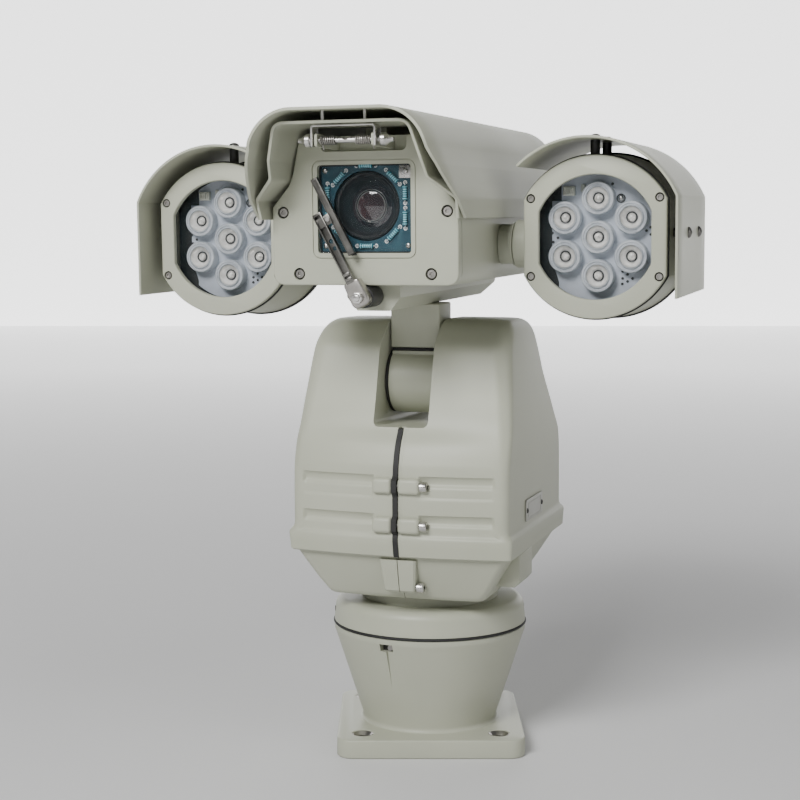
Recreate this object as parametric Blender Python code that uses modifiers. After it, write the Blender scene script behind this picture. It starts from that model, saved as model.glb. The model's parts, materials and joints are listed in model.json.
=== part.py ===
"""Pan-tilt camera with two infrared lamps, as separate sub-parts on real joints.

All sizes are in millimetres in the design frame of the object: the pan axis is Z, the
underside of the base is Z = 0 and the camera looks along -Y.  Everything above the pan
joint hangs on one empty, and the head on a second one, so both can rest at an angle.
"""
import math

import bmesh
import bpy
from mathutils import Matrix, Vector

MM = 0.001
GAP = 0.3                     # air between pieces that touch
MERGE = 0.01 * MM             # distance at which a turned shape closes on itself, metres

# Rest pose
PAN_REST = -18.0              # turn of everything above the base, degrees about Z
TILT_REST = 1.76              # nose-down lean of the head, degrees
WIPER_REST = -27.8            # lean of the parked wiper, degrees

# Base
PLATE = 160.0                 # square foot plate
PLATE_T = 16.0
BOLT = 58.2                   # mounting holes, from the centre
RIM_R = 84.3                  # radius of the cone's rim and the pan ring
RIM_Z = 101.5
GASKET_T = 2.3

# Body
BODY_Z = 136.2                # underside of the two body halves
BODY_TOP = 370.0
BODY_W = 94.0                 # half width
WALL = 5.0
SEAM = 2.3                    # half of the gap for the seam gasket
SEAM_X = 1.4                  # the seam runs a little right of the middle
STRIP_PROUD = 1.2             # how far the seam gasket stands out of the halves
NOTCH_X = 23.7                # half width of the notch for the tilt drum
NOTCH_Z = 281.5
FLANGE_Z = 175.5              # underside of the flange round the halves

# Tilt axis
TILT_Y, TILT_Z = -27.0, 317.0
DRUM_R = 28.0
DRUM_X = 20.7
SHAFT_R = 12.0
NECK_Y = (-42.7, -8.1)
NECK_X = 21.8
NECK_Z = 345.7

# Camera housing
TRAY_Z = 404.3                # underside of the housing
HOUSE_W = 75.0
FRONT_Y, BACK_Y = -171.0, 171.0
PLATE_DEEP = 10.0
LENS_Z = 464.9
WIN_X = 37.7                  # half width of the window
WIN_Z = (429.0, 496.3)
HINGE_Y, HINGE_Z = -209.0, 513.0
WIPER_Y, WIPER_Z = -181.0, 395.4

# Lamps
LAMP_X, LAMP_Z = 160.2, 438.8
LAMP_Y = -79.6                # front face of the ring
LAMP_R, LAMP_FLAT = 64.5, 57.0
OPEN_R, OPEN_FLAT = 49.4, 45.0
LED_PITCH = 30.9
ARM_Y, ARM_Z, ARM_R = -40.0, 433.0, 16.5
HOOD_R, HOOD_SHIFT = 79.0, 3.6
HOOD_SIDE = 68.7


# ---------------------------------------------------------------- scene, groups, materials

def clear_scene():
    for obj in list(bpy.data.objects):
        bpy.data.objects.remove(obj, do_unlink=True)


def collection(name):
    made = bpy.data.collections.new(name)
    bpy.context.scene.collection.children.link(made)
    return made


def material(name, colour, roughness, metallic=0.0, alpha=1.0):
    made = bpy.data.materials.new(name)
    made.use_nodes = True
    shader = made.node_tree.nodes["Principled BSDF"]
    shader.inputs["Base Color"].default_value = (*colour, 1.0)
    shader.inputs["Roughness"].default_value = roughness
    shader.inputs["Metallic"].default_value = metallic
    shader.inputs["Alpha"].default_value = alpha
    made.diffuse_color = (*colour, alpha)
    return made


class Group:
    """An empty at a joint, with the place it has in the design frame."""

    def __init__(self, name, at=(0, 0, 0), turn=(0, 0, 0), parent=None):
        self.at = Vector(at)
        self.empty = bpy.data.objects.new(name, None)
        self.empty.empty_display_size = 0.02
        PARTS.objects.link(self.empty)
        start = parent.at if parent else Vector((0, 0, 0))
        self.empty.location = (self.at - start) * MM
        self.empty.rotation_euler = [math.radians(a) for a in turn]
        if parent:
            self.empty.parent = parent.empty


clear_scene()
PARTS = collection("ptz_camera")
CUTTERS = collection("cutters")

PAINT = material("grey_paint", (0.50, 0.50, 0.45), 0.45)
DARK = material("black_rubber", (0.015, 0.015, 0.016), 0.6)
STEEL = material("stainless_steel", (0.62, 0.61, 0.59), 0.28, 1.0)
GLASS = material("clear_glass", (0.75, 0.85, 0.87), 0.05, 0.0, 0.3)
BOARD = material("circuit_board", (0.05, 0.20, 0.24), 0.5)
LED = material("lamp_board", (0.55, 0.60, 0.68), 0.4)
BLACK = material("black_metal", (0.03, 0.03, 0.035), 0.4, 0.3)
BRASS = material("gear_metal", (0.55, 0.42, 0.18), 0.35, 1.0)
LABEL = material("plate_metal", (0.58, 0.58, 0.55), 0.4, 0.6)


# ---------------------------------------------------------------- shape makers

def object_from(name, bm, group, skin=None, at=(0, 0, 0), turn=(0, 0, 0)):
    """A named object from a bmesh; with no material it is a cutter."""
    mesh = bpy.data.meshes.new(name)
    bm.to_mesh(mesh)
    bm.free()
    obj = bpy.data.objects.new(name, mesh)
    obj.parent = group.empty
    obj.location = (Vector(at) - group.at) * MM
    obj.rotation_euler = [math.radians(a) for a in turn]
    if skin:
        mesh.materials.append(skin)
        PARTS.objects.link(obj)
        mesh.shade_smooth()
        mesh.set_sharp_from_angle(angle=math.radians(35))
    else:
        CUTTERS.objects.link(obj)
        obj.hide_render = True
        obj.display_type = "WIRE"
    return obj


def box(name, group, x, y, z, skin=None, turn=(0, 0, 0), at=(0, 0, 0)):
    """A block between the given pairs of coordinates."""
    size = Vector((x[1] - x[0], y[1] - y[0], z[1] - z[0])) * MM
    middle = Vector((x[0] + x[1], y[0] + y[1], z[0] + z[1])) * (MM / 2)
    bm = bmesh.new()
    bmesh.ops.create_cube(bm, size=1.0, matrix=Matrix.Translation(middle) @ Matrix.Diagonal((*size, 1)))
    return object_from(name, bm, group, skin, at, turn)


AXES = {"X": Matrix.Rotation(math.pi / 2, 4, "Y"),
        "Y": Matrix.Rotation(-math.pi / 2, 4, "X"),
        "Z": Matrix.Identity(4)}


def rod(name, group, axis, at, radius, span, skin=None, sides=24):
    """A cylinder along an axis, from span[0] to span[1] on it."""
    index = "XYZ".index(axis)
    middle = Vector(at)
    middle[index] = (span[0] + span[1]) / 2
    bm = bmesh.new()
    place = Matrix.Translation(middle * MM) @ AXES[axis]
    bmesh.ops.create_cone(bm, cap_ends=True, segments=sides, radius1=radius * MM,
                          radius2=radius * MM, depth=(span[1] - span[0]) * MM, matrix=place)
    return object_from(name, bm, group, skin)


def turned(name, group, at, profile, skin=None, turn=(0, 0, 0), steps=32, closed=True):
    """A Screw round local Z of a profile of (radius, height), outer side top to bottom."""
    bm = bmesh.new()
    dots = [bm.verts.new((r * MM, 0, z * MM)) for r, z in profile]
    for a, b in zip(dots, dots[1:] + dots[:1] if closed else dots[1:]):
        bm.edges.new((a, b))
    obj = object_from(name, bm, group, skin, at, turn)
    screw = obj.modifiers.new("turn", "SCREW")
    screw.steps = screw.render_steps = steps
    screw.use_merge_vertices = True
    screw.merge_threshold = MERGE
    return obj


def loft(name, group, rings, skin=None):
    """A closed solid through rings of equal length, each a list of (x, y, z)."""
    bm = bmesh.new()
    rows = [[bm.verts.new(Vector(p) * MM) for p in ring] for ring in rings]
    for low, high in zip(rows, rows[1:]):
        for i in range(len(low)):
            j = (i + 1) % len(low)
            bm.faces.new((low[i], low[j], high[j], high[i]))
    bm.faces.new(list(reversed(rows[0])))
    bm.faces.new(rows[-1])
    bmesh.ops.recalc_face_normals(bm, faces=bm.faces)
    return object_from(name, bm, group, skin)


def slab(name, group, plane, outline, span, skin=None):
    """A flat outline in the XZ or YZ plane, given depth along the third axis."""
    def point(a, b, depth):
        return (a, depth, b) if plane == "XZ" else (depth, a, b)
    rings = [[point(a, b, depth) for a, b in outline] for depth in span]
    return loft(name, group, rings, skin)


def sheet(name, group, path, span, thickness, skin, offset):
    """A bent sheet: an open path of (x, z) drawn out along Y, with Solidify."""
    bm = bmesh.new()
    near = [bm.verts.new(Vector((x, span[0], z)) * MM) for x, z in path]
    edges = [bm.edges.new(pair) for pair in zip(near, near[1:])]
    grown = bmesh.ops.extrude_edge_only(bm, edges=edges)["geom"]
    far = [v for v in grown if isinstance(v, bmesh.types.BMVert)]
    bmesh.ops.translate(bm, verts=far, vec=(0, (span[1] - span[0]) * MM, 0))
    obj = object_from(name, bm, group, skin)
    shell = obj.modifiers.new("thickness", "SOLIDIFY")
    shell.thickness = thickness * MM
    shell.offset = offset
    return obj


def bevel(obj, width, segments=2, angle=40):
    made = obj.modifiers.new("edges", "BEVEL")
    made.width = width * MM
    made.segments = segments
    made.limit_method = "ANGLE"
    made.angle_limit = math.radians(angle)


def change(obj, other, operation="DIFFERENCE"):
    made = obj.modifiers.new(other.name, "BOOLEAN")
    made.operation = operation
    made.object = other


def arc(centre, radius, start, end, count):
    """Points on a circle in a flat frame, angles in degrees, both ends included."""
    turn = [math.radians(start + (end - start) * i / (count - 1)) for i in range(count)]
    return [(centre[0] + radius * math.cos(t), centre[1] + radius * math.sin(t)) for t in turn]


def mirrored(half):
    """A left-right symmetric path from its right half, given from +X towards the middle."""
    return half + [(-x, z) for x, z in reversed(half)]


def flat_sided(centre, radius, flat, count=9):
    """A circle with its left and right sides cut flat."""
    lean = math.degrees(math.acos(flat / radius))
    return arc(centre, radius, lean, 180 - lean, count) + arc(centre, radius, 180 + lean, 360 - lean, count)


# ---------------------------------------------------------------- base, fixed

def base_casting():
    plate = box("base_casting", FIXED, (-PLATE / 2, PLATE / 2), (-PLATE / 2, PLATE / 2), (0, PLATE_T), PAINT)
    corner = plate.modifiers.new("corners", "BEVEL")
    corner.width, corner.segments = 14 * MM, 3
    corner.limit_method = "WEIGHT"
    weights = plate.data.attributes.new("bevel_weight_edge", "FLOAT", "EDGE")
    for edge, slot in zip(plate.data.edges, weights.data):
        a, b = (plate.data.vertices[i].co for i in edge.vertices)
        slot.value = 1.0 if abs(a.z - b.z) > 0.001 else 0.0
    bevel(plate, 1.2, 1, 60)
    floor_z = 23.0
    cup = turned("base_cone", FIXED, (0, 0, 0),
                 [(0.0, floor_z), (52, floor_z), (59, 39), (76.5, 92), (78, RIM_Z), (RIM_R, RIM_Z), (84, 97),
                  (82.3, 91.5), (65.4, 39), (59, 20.5), (59.4, 17.5), (61, 15.5), (0, 15.5)], closed=False)
    change(plate, cup, "UNION")
    boss = box("base_gland_boss", FIXED, (-17, 17), (55, 80), (44, 78))
    change(plate, boss, "UNION")
    inside = turned("base_hollow", FIXED, (0, 0, 0),
                    [(0, RIM_Z + 5), (78, RIM_Z + 5), (78, RIM_Z), (76.5, 92), (59, 39), (52, floor_z), (0, floor_z)],
                    closed=False)
    change(plate, inside)
    change(plate, rod("gland_hole", FIXED, "Y", (0, 0, 61), 8.3, (40, 90), sides=16))
    for i, (sx, sy) in enumerate(((-1, -1), (1, -1), (1, 1), (-1, 1))):
        spot = (sx * BOLT, sy * BOLT, 0)
        change(plate, rod(f"bolt_hole_{i}", FIXED, "Z", spot, 4.5, (-5, 20), sides=12))
        change(plate, rod(f"bolt_seat_{i}", FIXED, "Z", spot, 9.0, (PLATE_T - 5, 25), sides=16))
    for i in range(2):
        angle = 242.6 + 180 * i
        pocket = box(f"rim_pocket_{i}", FIXED, (78.5, 92), (-5.5, 5.5), (89.5, 96.5), turn=(0, 0, angle))
        change(plate, pocket)


def cable_gland():
    turned("cable_gland", FIXED, (0, 80 + GAP, 61),
           [(4, 24), (9, 24), (9.5, 10), (13, 10), (13, 0), (8, 0), (8, -14), (4, -14)],
           DARK, turn=(-90, 0, 0), steps=16)


def pan_gasket():
    turned("pan_gasket", FIXED, (0, 0, RIM_Z + GAP),
           [(78, GASKET_T), (RIM_R + 0.7, GASKET_T), (RIM_R + 0.7, 0), (78, 0)], DARK)


def toothed(name, group, axis, at, radius, teeth, span, skin):
    """A spur wheel: an outline with straight-sided teeth, drawn out along an axis."""
    outline = []
    for i in range(teeth):
        for part, r in ((0.0, radius - 2.2), (0.22, radius), (0.5, radius), (0.72, radius - 2.2)):
            t = 2 * math.pi * (i + part) / teeth
            outline.append((r * math.cos(t), r * math.sin(t)))
    if axis == "Z":
        rings = [[(at[0] + a, at[1] + b, depth) for a, b in outline] for depth in span]
    else:
        rings = [[(depth, at[1] + a, at[2] + b) for a, b in outline] for depth in span]
    return loft(name, group, rings, skin)


PAN_GEAR_R = 40.2
PAN_PINION_R = 13.4
PAN_MOTOR = (45.0, 30.0)
GEAR_Z = (150.0, 158.0)


def pan_gear():
    wheel = toothed("pan_gear", FIXED, "Z", (0, 0), PAN_GEAR_R, 20, GEAR_Z, BRASS)
    change(wheel, rod("pan_spindle", FIXED, "Z", (0, 0, 0), 16, (23 + GAP, 162)), "UNION")
    change(wheel, rod("pan_spindle_bore", FIXED, "Z", (0, 0, 0), 9, (20, 170), sides=24))


# ---------------------------------------------------------------- pan body

def pan_ring():
    low = RIM_Z + 2 * GAP + GASKET_T
    top = BODY_Z - GAP
    turned("pan_ring", PAN, (0, 0, 0),
           [(16.8, top), (60, top), (60, 128), (76, 126.5), (82.3, 121), (RIM_R, low),
            (76, low), (76, 118), (30, 118), (30, 110), (16.8, 110)], PAINT)


# Rows of the body shell: height, half width, front, how far the front bows out, back
SHELL = [(BODY_Z, 67, 70, 4, 83), (140, 71, 73, 5, 87), (150, 77, 77.5, 6, 92), (FLANGE_Z - 0.6, 92, 87, 8, 104),
         (FLANGE_Z, 96.5, 90.5, 9.5, 108.5), (191, 97.5, 93, 10.5, 110), (196, BODY_W, 91.5, 10.5, 107.6),
         (246, BODY_W, 91.5, 10.5, 106), (256, BODY_W, 90, 10, 105), (268, BODY_W, 86, 9, 101),
         (283, 93, 81.5, 4, 90), (320, 90, 72.5, 2, 63), (346, 87, 65, 1.5, 51), (360, 84.5, 49, 1, 42),
         (367, 80, 39, 1, 34), (BODY_TOP, 70, 24, 0, 18)]
CORNER, FLANGE_CORNER = 10.0, 4.5
RIB_STEPS = (243.6, 211.6)     # heights where a rib starts, from above
# One rib from its step downwards: distance down, how far the face is sunk
RIB = [(0, 0), (3.5, 2.1), (6.8, 3.0), (9.5, 1.1), (17.0, 0.9), (20.0, 0.0)]


def shell_row(z):
    """The shell's numbers at a height, read between its rows."""
    for low, high in zip(SHELL, SHELL[1:]):
        if z <= high[0]:
            t = (z - low[0]) / (high[0] - low[0])
            return [a + (b - a) * t for a, b in zip(low, high)]
    return list(SHELL[-1])


def rib_depth(z):
    """How far the ribbed faces sink in at a height."""
    for step in RIB_STEPS:
        below = step - z
        for (a, low), (b, high) in zip(RIB, RIB[1:]):
            if a <= below <= b:
                return low + (high - low) * (below - a) / (b - a)
    return 0.0


def shell_ring(z, side, inset=0.0, ribs=True):
    """Half of the shell's outline at a height, from the seam at the front round to the back."""
    _, width, front, bow, back = shell_row(z)
    width, front, back = width - inset, front - inset, back - inset
    seam = -2.0 if inset else (SEAM if z > FLANGE_Z - 0.5 else GAP) + side * SEAM_X
    corner = (FLANGE_CORNER if z < 193 else CORNER) - min(inset, 3.0)
    sink = rib_depth(z) if ribs else 0.0
    inner = width - corner

    def face(x):
        bulge = bow * (1 - (x / width) ** 2)
        on_rib = 1.0 if 8 < x < inner - 4 else 0.0
        return bulge - sink * on_rib
    across = [seam, 9.0, 0.5 * inner, inner - 5.0, inner - 2.0]
    near = [(x, -front - face(x)) for x in across]
    near += arc((inner, -front + corner), corner, -90, 0, 3)
    far = arc((inner, back - corner), corner, 0, 90, 3)
    far += [(x, back + face(x)) for x in reversed(across)]
    return [(side * x, y, z) for x, y in near + far]


def body_half(name, side):
    heights = [row[0] for row in SHELL]
    for step in RIB_STEPS:
        heights += [step - down for down, _ in RIB]
    heights.append(FLANGE_Z - 0.4)
    rings = [shell_ring(z, side) for z in sorted(set(heights))]
    half = loft(name, PAN, rings, PAINT)
    hollow_z = [BODY_Z + WALL, 175, 190, 246, 268, 284, 320, 345, 363]
    hollow = loft(f"{name}_hollow", PAN, [shell_ring(z, side, WALL, False) for z in hollow_z])
    notch_wall = box(f"{name}_notch_wall", PAN, (-NOTCH_X - 4, NOTCH_X + 4), (-140, 140), (NOTCH_Z - 4, 400))
    change(hollow, notch_wall)
    change(half, hollow)
    change(half, box(f"{name}_notch", PAN, (-NOTCH_X, NOTCH_X), (-150, 150), (NOTCH_Z, 410)))
    change(half, rod(f"{name}_shaft_hole", PAN, "X", (0, TILT_Y, TILT_Z), SHAFT_R + 0.5, (-40, 40), sides=20))
    change(half, rod(f"{name}_bottom_hole", PAN, "Z", (0, 0, 0), 44, (120, 145), sides=24))
    outer = 22.8 if side > 0 else 18.0
    ends = tuple(sorted((side * (SEAM + 0.2) + SEAM_X, side * outer)))
    for z in SCREW_Z:
        change(half, rod(f"{name}_lug_{z:.0f}", PAN, "X", (0, SCREW_Y, z), 6.6, ends, sides=12), "UNION")
    low = tuple(sorted((side * (GAP + 0.2) + SEAM_X, side * 14.5 + SEAM_X)))
    for flip, extra in ((1, 0), (-1, 13)):
        outline = [(flip * (a - extra), z) for a, z in ((-99, 172), (-91.5, 144), (-72, 144), (-80, 172))]
        change(half, slab(f"{name}_clamp_{flip}", PAN, "YZ", outline, low), "UNION")
    for i, (y, z) in enumerate(SCREWS):
        change(half, rod(f"{name}_screw_hole_{i}", PAN, "X", (0, y, z), 2.6, (-15.5, 30), sides=8))
        if side > 0:
            change(half, rod(f"{name}_head_seat_{i}", PAN, "X", (0, y, z), 5.0, (HEAD_X[i], 40), sides=12))


SCREW_Y = -101.0
SCREW_Z = (235.0, 202.0)
SCREWS = [(SCREW_Y - 1, SCREW_Z[0]), (SCREW_Y - 1, SCREW_Z[1]), (-87.0, 148.5)]
HEAD_X = (23.0, 23.0, 16.1)    # where the screw heads sit


def seam_gasket():
    lug_y = SCREW_Y - 6.6 + 0.4
    levels = [FLANGE_Z + 0.6, 191, 194]
    for z in reversed(SCREW_Z):
        levels += [z - 7.5, z - 4.5, z + 4.5, z + 7.5]
    levels += [246, 256, 268, 276]
    front = []
    for z in levels:
        on_lug = any(abs(z - lug) < 5 for lug in SCREW_Z)
        front.append((lug_y if on_lug else -sum(shell_row(z)[2:4]) - STRIP_PROUD, z))
    back = [(shell_row(z)[3] + shell_row(z)[4] + 0.2, z) for z in (276, 268, 256, 246, 196, 191, FLANGE_Z + 0.6)]
    _, _, near, bow, far = shell_row(281)
    top = [(-near - bow, NOTCH_Z - 0.3), (far + bow, NOTCH_Z - 0.3)]
    outer = front + top + back
    deep = 6.0
    inner = [(y - deep, z) for y, z in back[::-1]] + [(96 - deep, NOTCH_Z - deep), (-88 + deep, NOTCH_Z - deep)]
    inner += [(y + deep, z) for y, z in front[::-1]]
    strip = slab("seam_gasket", PAN, "YZ", outer + inner, (SEAM_X - SEAM + GAP, SEAM_X + SEAM - GAP), DARK)
    for i, (y, z) in enumerate(SCREWS[:2]):
        change(strip, rod(f"seam_gasket_hole_{i}", PAN, "X", (0, y, z), 2.6, (-5, 5), sides=8))


def seam_screws():
    for i, (y, z) in enumerate(SCREWS, start=1):
        start = HEAD_X[i - 1] + GAP
        screw = rod(f"seam_screw_{i}", PAN, "X", (0, y, z), 4.3, (start, start + 5.5), STEEL, 16)
        change(screw, rod(f"seam_shank_{i}", PAN, "X", (0, y, z), 2.2, (-14, start + 1), sides=8), "UNION")
        change(screw, rod(f"seam_socket_{i}", PAN, "X", (0, y, z), 2.1, (start + 2.5, start + 9), sides=6))


def name_plate():
    plate = box("name_plate", PAN, (BODY_W + GAP, BODY_W + 1.5), (-33, 26), (198, 218), LABEL)
    bevel(plate, 0.4, 1)


def connector_box():
    outline = [(94, FLANGE_Z - 0.9), (95, FLANGE_Z - 1.5), (94.5, 151), (91, 147), (76.2, 147)]
    slab("connector_box", PAN, "XZ", outline, (-58, -12), PAINT)


def motor(name, axis, at, radius, span, shaft, skin=BLACK):
    can = rod(name, PAN, axis, at, radius, span, skin, 28)
    bevel(can, 1.5, 1)
    change(can, rod(f"{name}_shaft", PAN, axis, at, 4.0, shaft, sides=16), "UNION")
    return can


TILT_GEAR_R = 32.4
TILT_PINION_R = 12.0
TILT_DROP = TILT_GEAR_R + TILT_PINION_R + 0.5
GEAR_X = (44.0, 51.0)


def drives():
    pan_at = (*PAN_MOTOR, 0)
    motor("pan_motor", "Z", pan_at, 19, (168, 232), (142, 170))
    wheel = toothed("pan_pinion", PAN_WHEEL, "Z", pan_at, PAN_PINION_R, 8, GEAR_Z, BRASS)
    change(wheel, rod("pan_pinion_bore", PAN_WHEEL, "Z", pan_at, 4.3, (140, 170), sides=16))
    tilt_at = (0, TILT_Y, TILT_Z - TILT_DROP)
    motor("tilt_motor", "X", tilt_at, 15, (54, 86), (40, 56))
    wheel = toothed("tilt_pinion", TILT_WHEEL, "X", tilt_at, TILT_PINION_R, 9, GEAR_X, BRASS)
    change(wheel, rod("tilt_pinion_bore", TILT_WHEEL, "X", tilt_at, 4.3, (30, 60), sides=16))


def drum_seals():
    for name, side in (("left", -1), ("right", 1)):
        turned(f"drum_seal_{name}", PAN, (side * (DRUM_X + GAP), TILT_Y, TILT_Z),
               [(SHAFT_R + 0.6, 2.4), (DRUM_R + 0.4, 2.4), (DRUM_R + 0.4, 0), (SHAFT_R + 0.6, 0)], DARK,
               turn=(0, 90 * side, 0), steps=28)


# ---------------------------------------------------------------- tilting head

def tilt_drum():
    drum = rod("tilt_drum", TILT, "X", (0, TILT_Y, TILT_Z), DRUM_R, (-DRUM_X, DRUM_X), PAINT, 36)
    pad_y = (NECK_Y[0] - 0.2, NECK_Y[1] + 0.2)
    land = NECK_Z - 2.3
    change(drum, box("drum_pad", TILT, (-DRUM_X + 0.4, DRUM_X - 0.4), pad_y, (TILT_Z, land + 1)), "UNION")
    change(drum, box("drum_land", TILT, (-30, 30), (-60, 10), (land, land + 20)))
    change(drum, rod("drum_shaft", TILT, "X", (0, TILT_Y, TILT_Z), SHAFT_R, (-42, 58), sides=24), "UNION")


def tilt_gear():
    wheel = toothed("tilt_gear", TILT, "X", (0, TILT_Y, TILT_Z), TILT_GEAR_R, 18, GEAR_X, BRASS)
    change(wheel, rod("tilt_gear_bore", TILT, "X", (0, TILT_Y, TILT_Z), SHAFT_R + 0.5, (40, 60), sides=24))


def neck():
    box("neck_gasket", TILT, (-DRUM_X + GAP, DRUM_X - GAP), (NECK_Y[0] - 0.3, NECK_Y[1] + 0.3),
        (NECK_Z - 2.0, NECK_Z - GAP), DARK)
    post = box("neck_post", TILT, (-NECK_X, NECK_X), NECK_Y, (NECK_Z, BRACKET_Z - GAP), PAINT)
    bevel(post, 1.5, 2, 80)


BRACKET_Z = 383.5
BRACKET_Y = (-150.0, 142.0)


def head_bracket():
    top = TRAY_Z - GAP
    outline = [(-13.6, BRACKET_Z), (13.6, BRACKET_Z), (22, 394), (22, top), (-22, top), (-22, 394)]
    wedge = slab("head_bracket", TILT, "XZ", outline, BRACKET_Y, PAINT)
    heel = [(110, BRACKET_Z - 5), (150, BRACKET_Z - 5), (150, 402), (142, 396)]
    change(wedge, slab("bracket_heel", TILT, "YZ", heel, (-30, 30)))


# Right half of the bell-shaped section, from the foot of the cover to the middle of its top
BELL = [(HOUSE_W, 457.5), (HOUSE_W, 462), (73.4, 467.4), (62.3, 479.6), (58.9, 486.5), (53.6, 506)]
BELL += arc((43.5, 508), 10.0, 10, 90, 5)


def housing():
    foot = arc((HOUSE_W - 10, TRAY_Z + 10), 10.0, 0, -90, 4)
    inside_y = (FRONT_Y + PLATE_DEEP + GAP, BACK_Y - 6 - GAP)
    tray = sheet("housing_tray", TILT, mirrored([(HOUSE_W, 457)] + foot), inside_y, 3.0, PAINT, 1)
    change(tray, box("tray_rail", TILT, (-30, 30), (-130, 30), (TRAY_Z + 1.5, TRAY_Z + 5)), "UNION")
    cover = sheet("top_cover", COVER, mirrored(BELL), inside_y, 2.5, PAINT, -1)
    ridge = box("cover_ridge", COVER, (-9, 9), (-140, 140), (516.5, 535.5 - 2.2 - GAP))
    change(cover, ridge, "UNION")


def front_outline():
    low = arc((HOUSE_W - 10, TRAY_Z + 10), 10.0, -90, 0, 6)
    half = low + BELL
    return half + [(-x, z) for x, z in reversed(half)]


def front_plate():
    plate = slab("front_plate", TILT, "XZ", front_outline(), (FRONT_Y, FRONT_Y + PLATE_DEEP), PAINT)
    bevel(plate, 1.0, 1, 60)
    hole = box("window_hole", TILT, (-WIN_X, WIN_X), (-180, -150), WIN_Z)
    change(plate, hole)
    seat = box("window_seat", TILT, (-41, 41), (FRONT_Y + 4.5, -150), (WIN_Z[0] - 3.5, WIN_Z[1] + 3))
    change(plate, seat)
    for i, (x, z) in enumerate(PLATE_SCREWS):
        change(plate, rod(f"plate_seat_{i}", TILT, "Y", (x, 0, z), 4.6, (-180, FRONT_Y + 3.5), sides=24))
    pocket = box("hinge_pocket", TILT, (-34.7, 34.7), (-180, FRONT_Y + 6.5), (506.3, 530))
    bevel(pocket, 4.0, 4, 80)
    change(plate, pocket)
    for name, x in (("left", -22.2), ("right", 22.2)):
        arm = slab(f"hinge_arm_{name}", TILT, "YZ",
                   [(FRONT_Y + 8, 507), (HINGE_Y - 4.5, 508), (HINGE_Y - 4.5, 518), (HINGE_Y + 5, 518), (FRONT_Y + 8, 513)],
                   (x - 1.0, x + 1.0))
        change(plate, arm, "UNION")
    change(plate, rod("hinge_arm_bore", TILT, "X", (0, HINGE_Y, HINGE_Z), 2.4, (-24, 24), sides=16))


PLATE_SCREWS = [(-66.3, 460.4), (66.3, 460.4), (-53.5, 413.0), (53.5, 413.0)]


def rear_plate():
    plate = slab("rear_plate", TILT, "XZ", front_outline(), (BACK_Y - 6, BACK_Y), PAINT)
    bevel(plate, 1.0, 1, 60)


def window():
    frame = box("window_gasket", TILT, (-40.7, 40.7), (FRONT_Y + 4.8, FRONT_Y + 5.8),
                (WIN_Z[0] - 3.2, WIN_Z[1] + 2.7), DARK)
    change(frame, box("gasket_hole", TILT, (-WIN_X, WIN_X), (-180, -150), WIN_Z))
    glass = box("window_glass", TILT, (-40.7, 40.7), (FRONT_Y + 6.1, FRONT_Y + 9.3),
                (WIN_Z[0] - 3.2, WIN_Z[1] + 2.7), GLASS)
    face = box("glass_face", TILT, (-WIN_X + GAP, WIN_X - GAP), (FRONT_Y + 0.5, FRONT_Y + 8),
               (WIN_Z[0] + GAP, WIN_Z[1] - GAP))
    change(glass, face, "UNION")


# Front edges in side view, from the top down: (y, z)
VISOR_EDGE = [(-223, 530), (-222, 521), (-216, 499), (-207, 484.5), (-192, 469), (-185, 452)]
SHIELD_EDGE = [(-234.5, 540), (-234.5, 511), (-229, 500), (-219, 488), (-206, 476), (-191, 464), (-172, 450)]


def trimmed(obj, name, edge, group):
    """Cut the front of a sheet back to an edge that leans in side view."""
    outline = [(-260, edge[0][1] + 20), (edge[0][0], edge[0][1] + 20)] + edge + [(edge[-1][0], 430), (-260, 430)]
    change(obj, slab(name, group, "YZ", outline, (-120, 120)))


def hoods():
    half = [(79.5, 455), (80.4, 468.8), (63.5, 484.5), (60.3, 498), (52.5, 520)]
    half += arc((44.0, 518.5), 8.5, 15, 90, 4)
    visor = sheet("visor", COVER, mirrored(half), (-226, FRONT_Y + 24), 2.0, PAINT, -1)
    trimmed(visor, "visor_trim", VISOR_EDGE, COVER)
    half = [(83.8, 455), (83.1, 470), (79.2, 481), (75.0, 494)]
    half += arc((34.0, 500.0), 36.5, 10, 90, 6)
    shield = sheet("sun_shield", COVER, mirrored(half), (-238, 180), 2.2, PAINT, -1)
    trimmed(shield, "shield_trim", SHIELD_EDGE, COVER)


def cover_hinge():
    bracket = box("hinge_bracket", COVER, (-25.5, 25.5), (HINGE_Y - 7, HINGE_Y + 6), (508.5, 524.6), STEEL)
    change(bracket, box("bracket_inside", COVER, (-24, 24), (HINGE_Y - 20, HINGE_Y + 20), (500, 523.1)))
    change(bracket, rod("bracket_bore", COVER, "X", (0, HINGE_Y, HINGE_Z), 2.4, (-30, 30), sides=16))
    pin = rod("hinge_pin", TILT, "X", (0, HINGE_Y, HINGE_Z), 2.0, (-35, 35), STEEL, 16)
    for side in (-1, 1):
        span = tuple(sorted((side * 27.5, side * 33)))
        change(pin, rod(f"pin_nut_{side}", TILT, "X", (0, HINGE_Y, HINGE_Z), 4.6, span, sides=12), "UNION")
    turned("hinge_spring", COVER, (-20, HINGE_Y, HINGE_Z),
           [(2.5, 40), (3.7, 40), (3.7, 0), (2.5, 0)], STEEL, turn=(0, 90, 0), steps=20)


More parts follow.
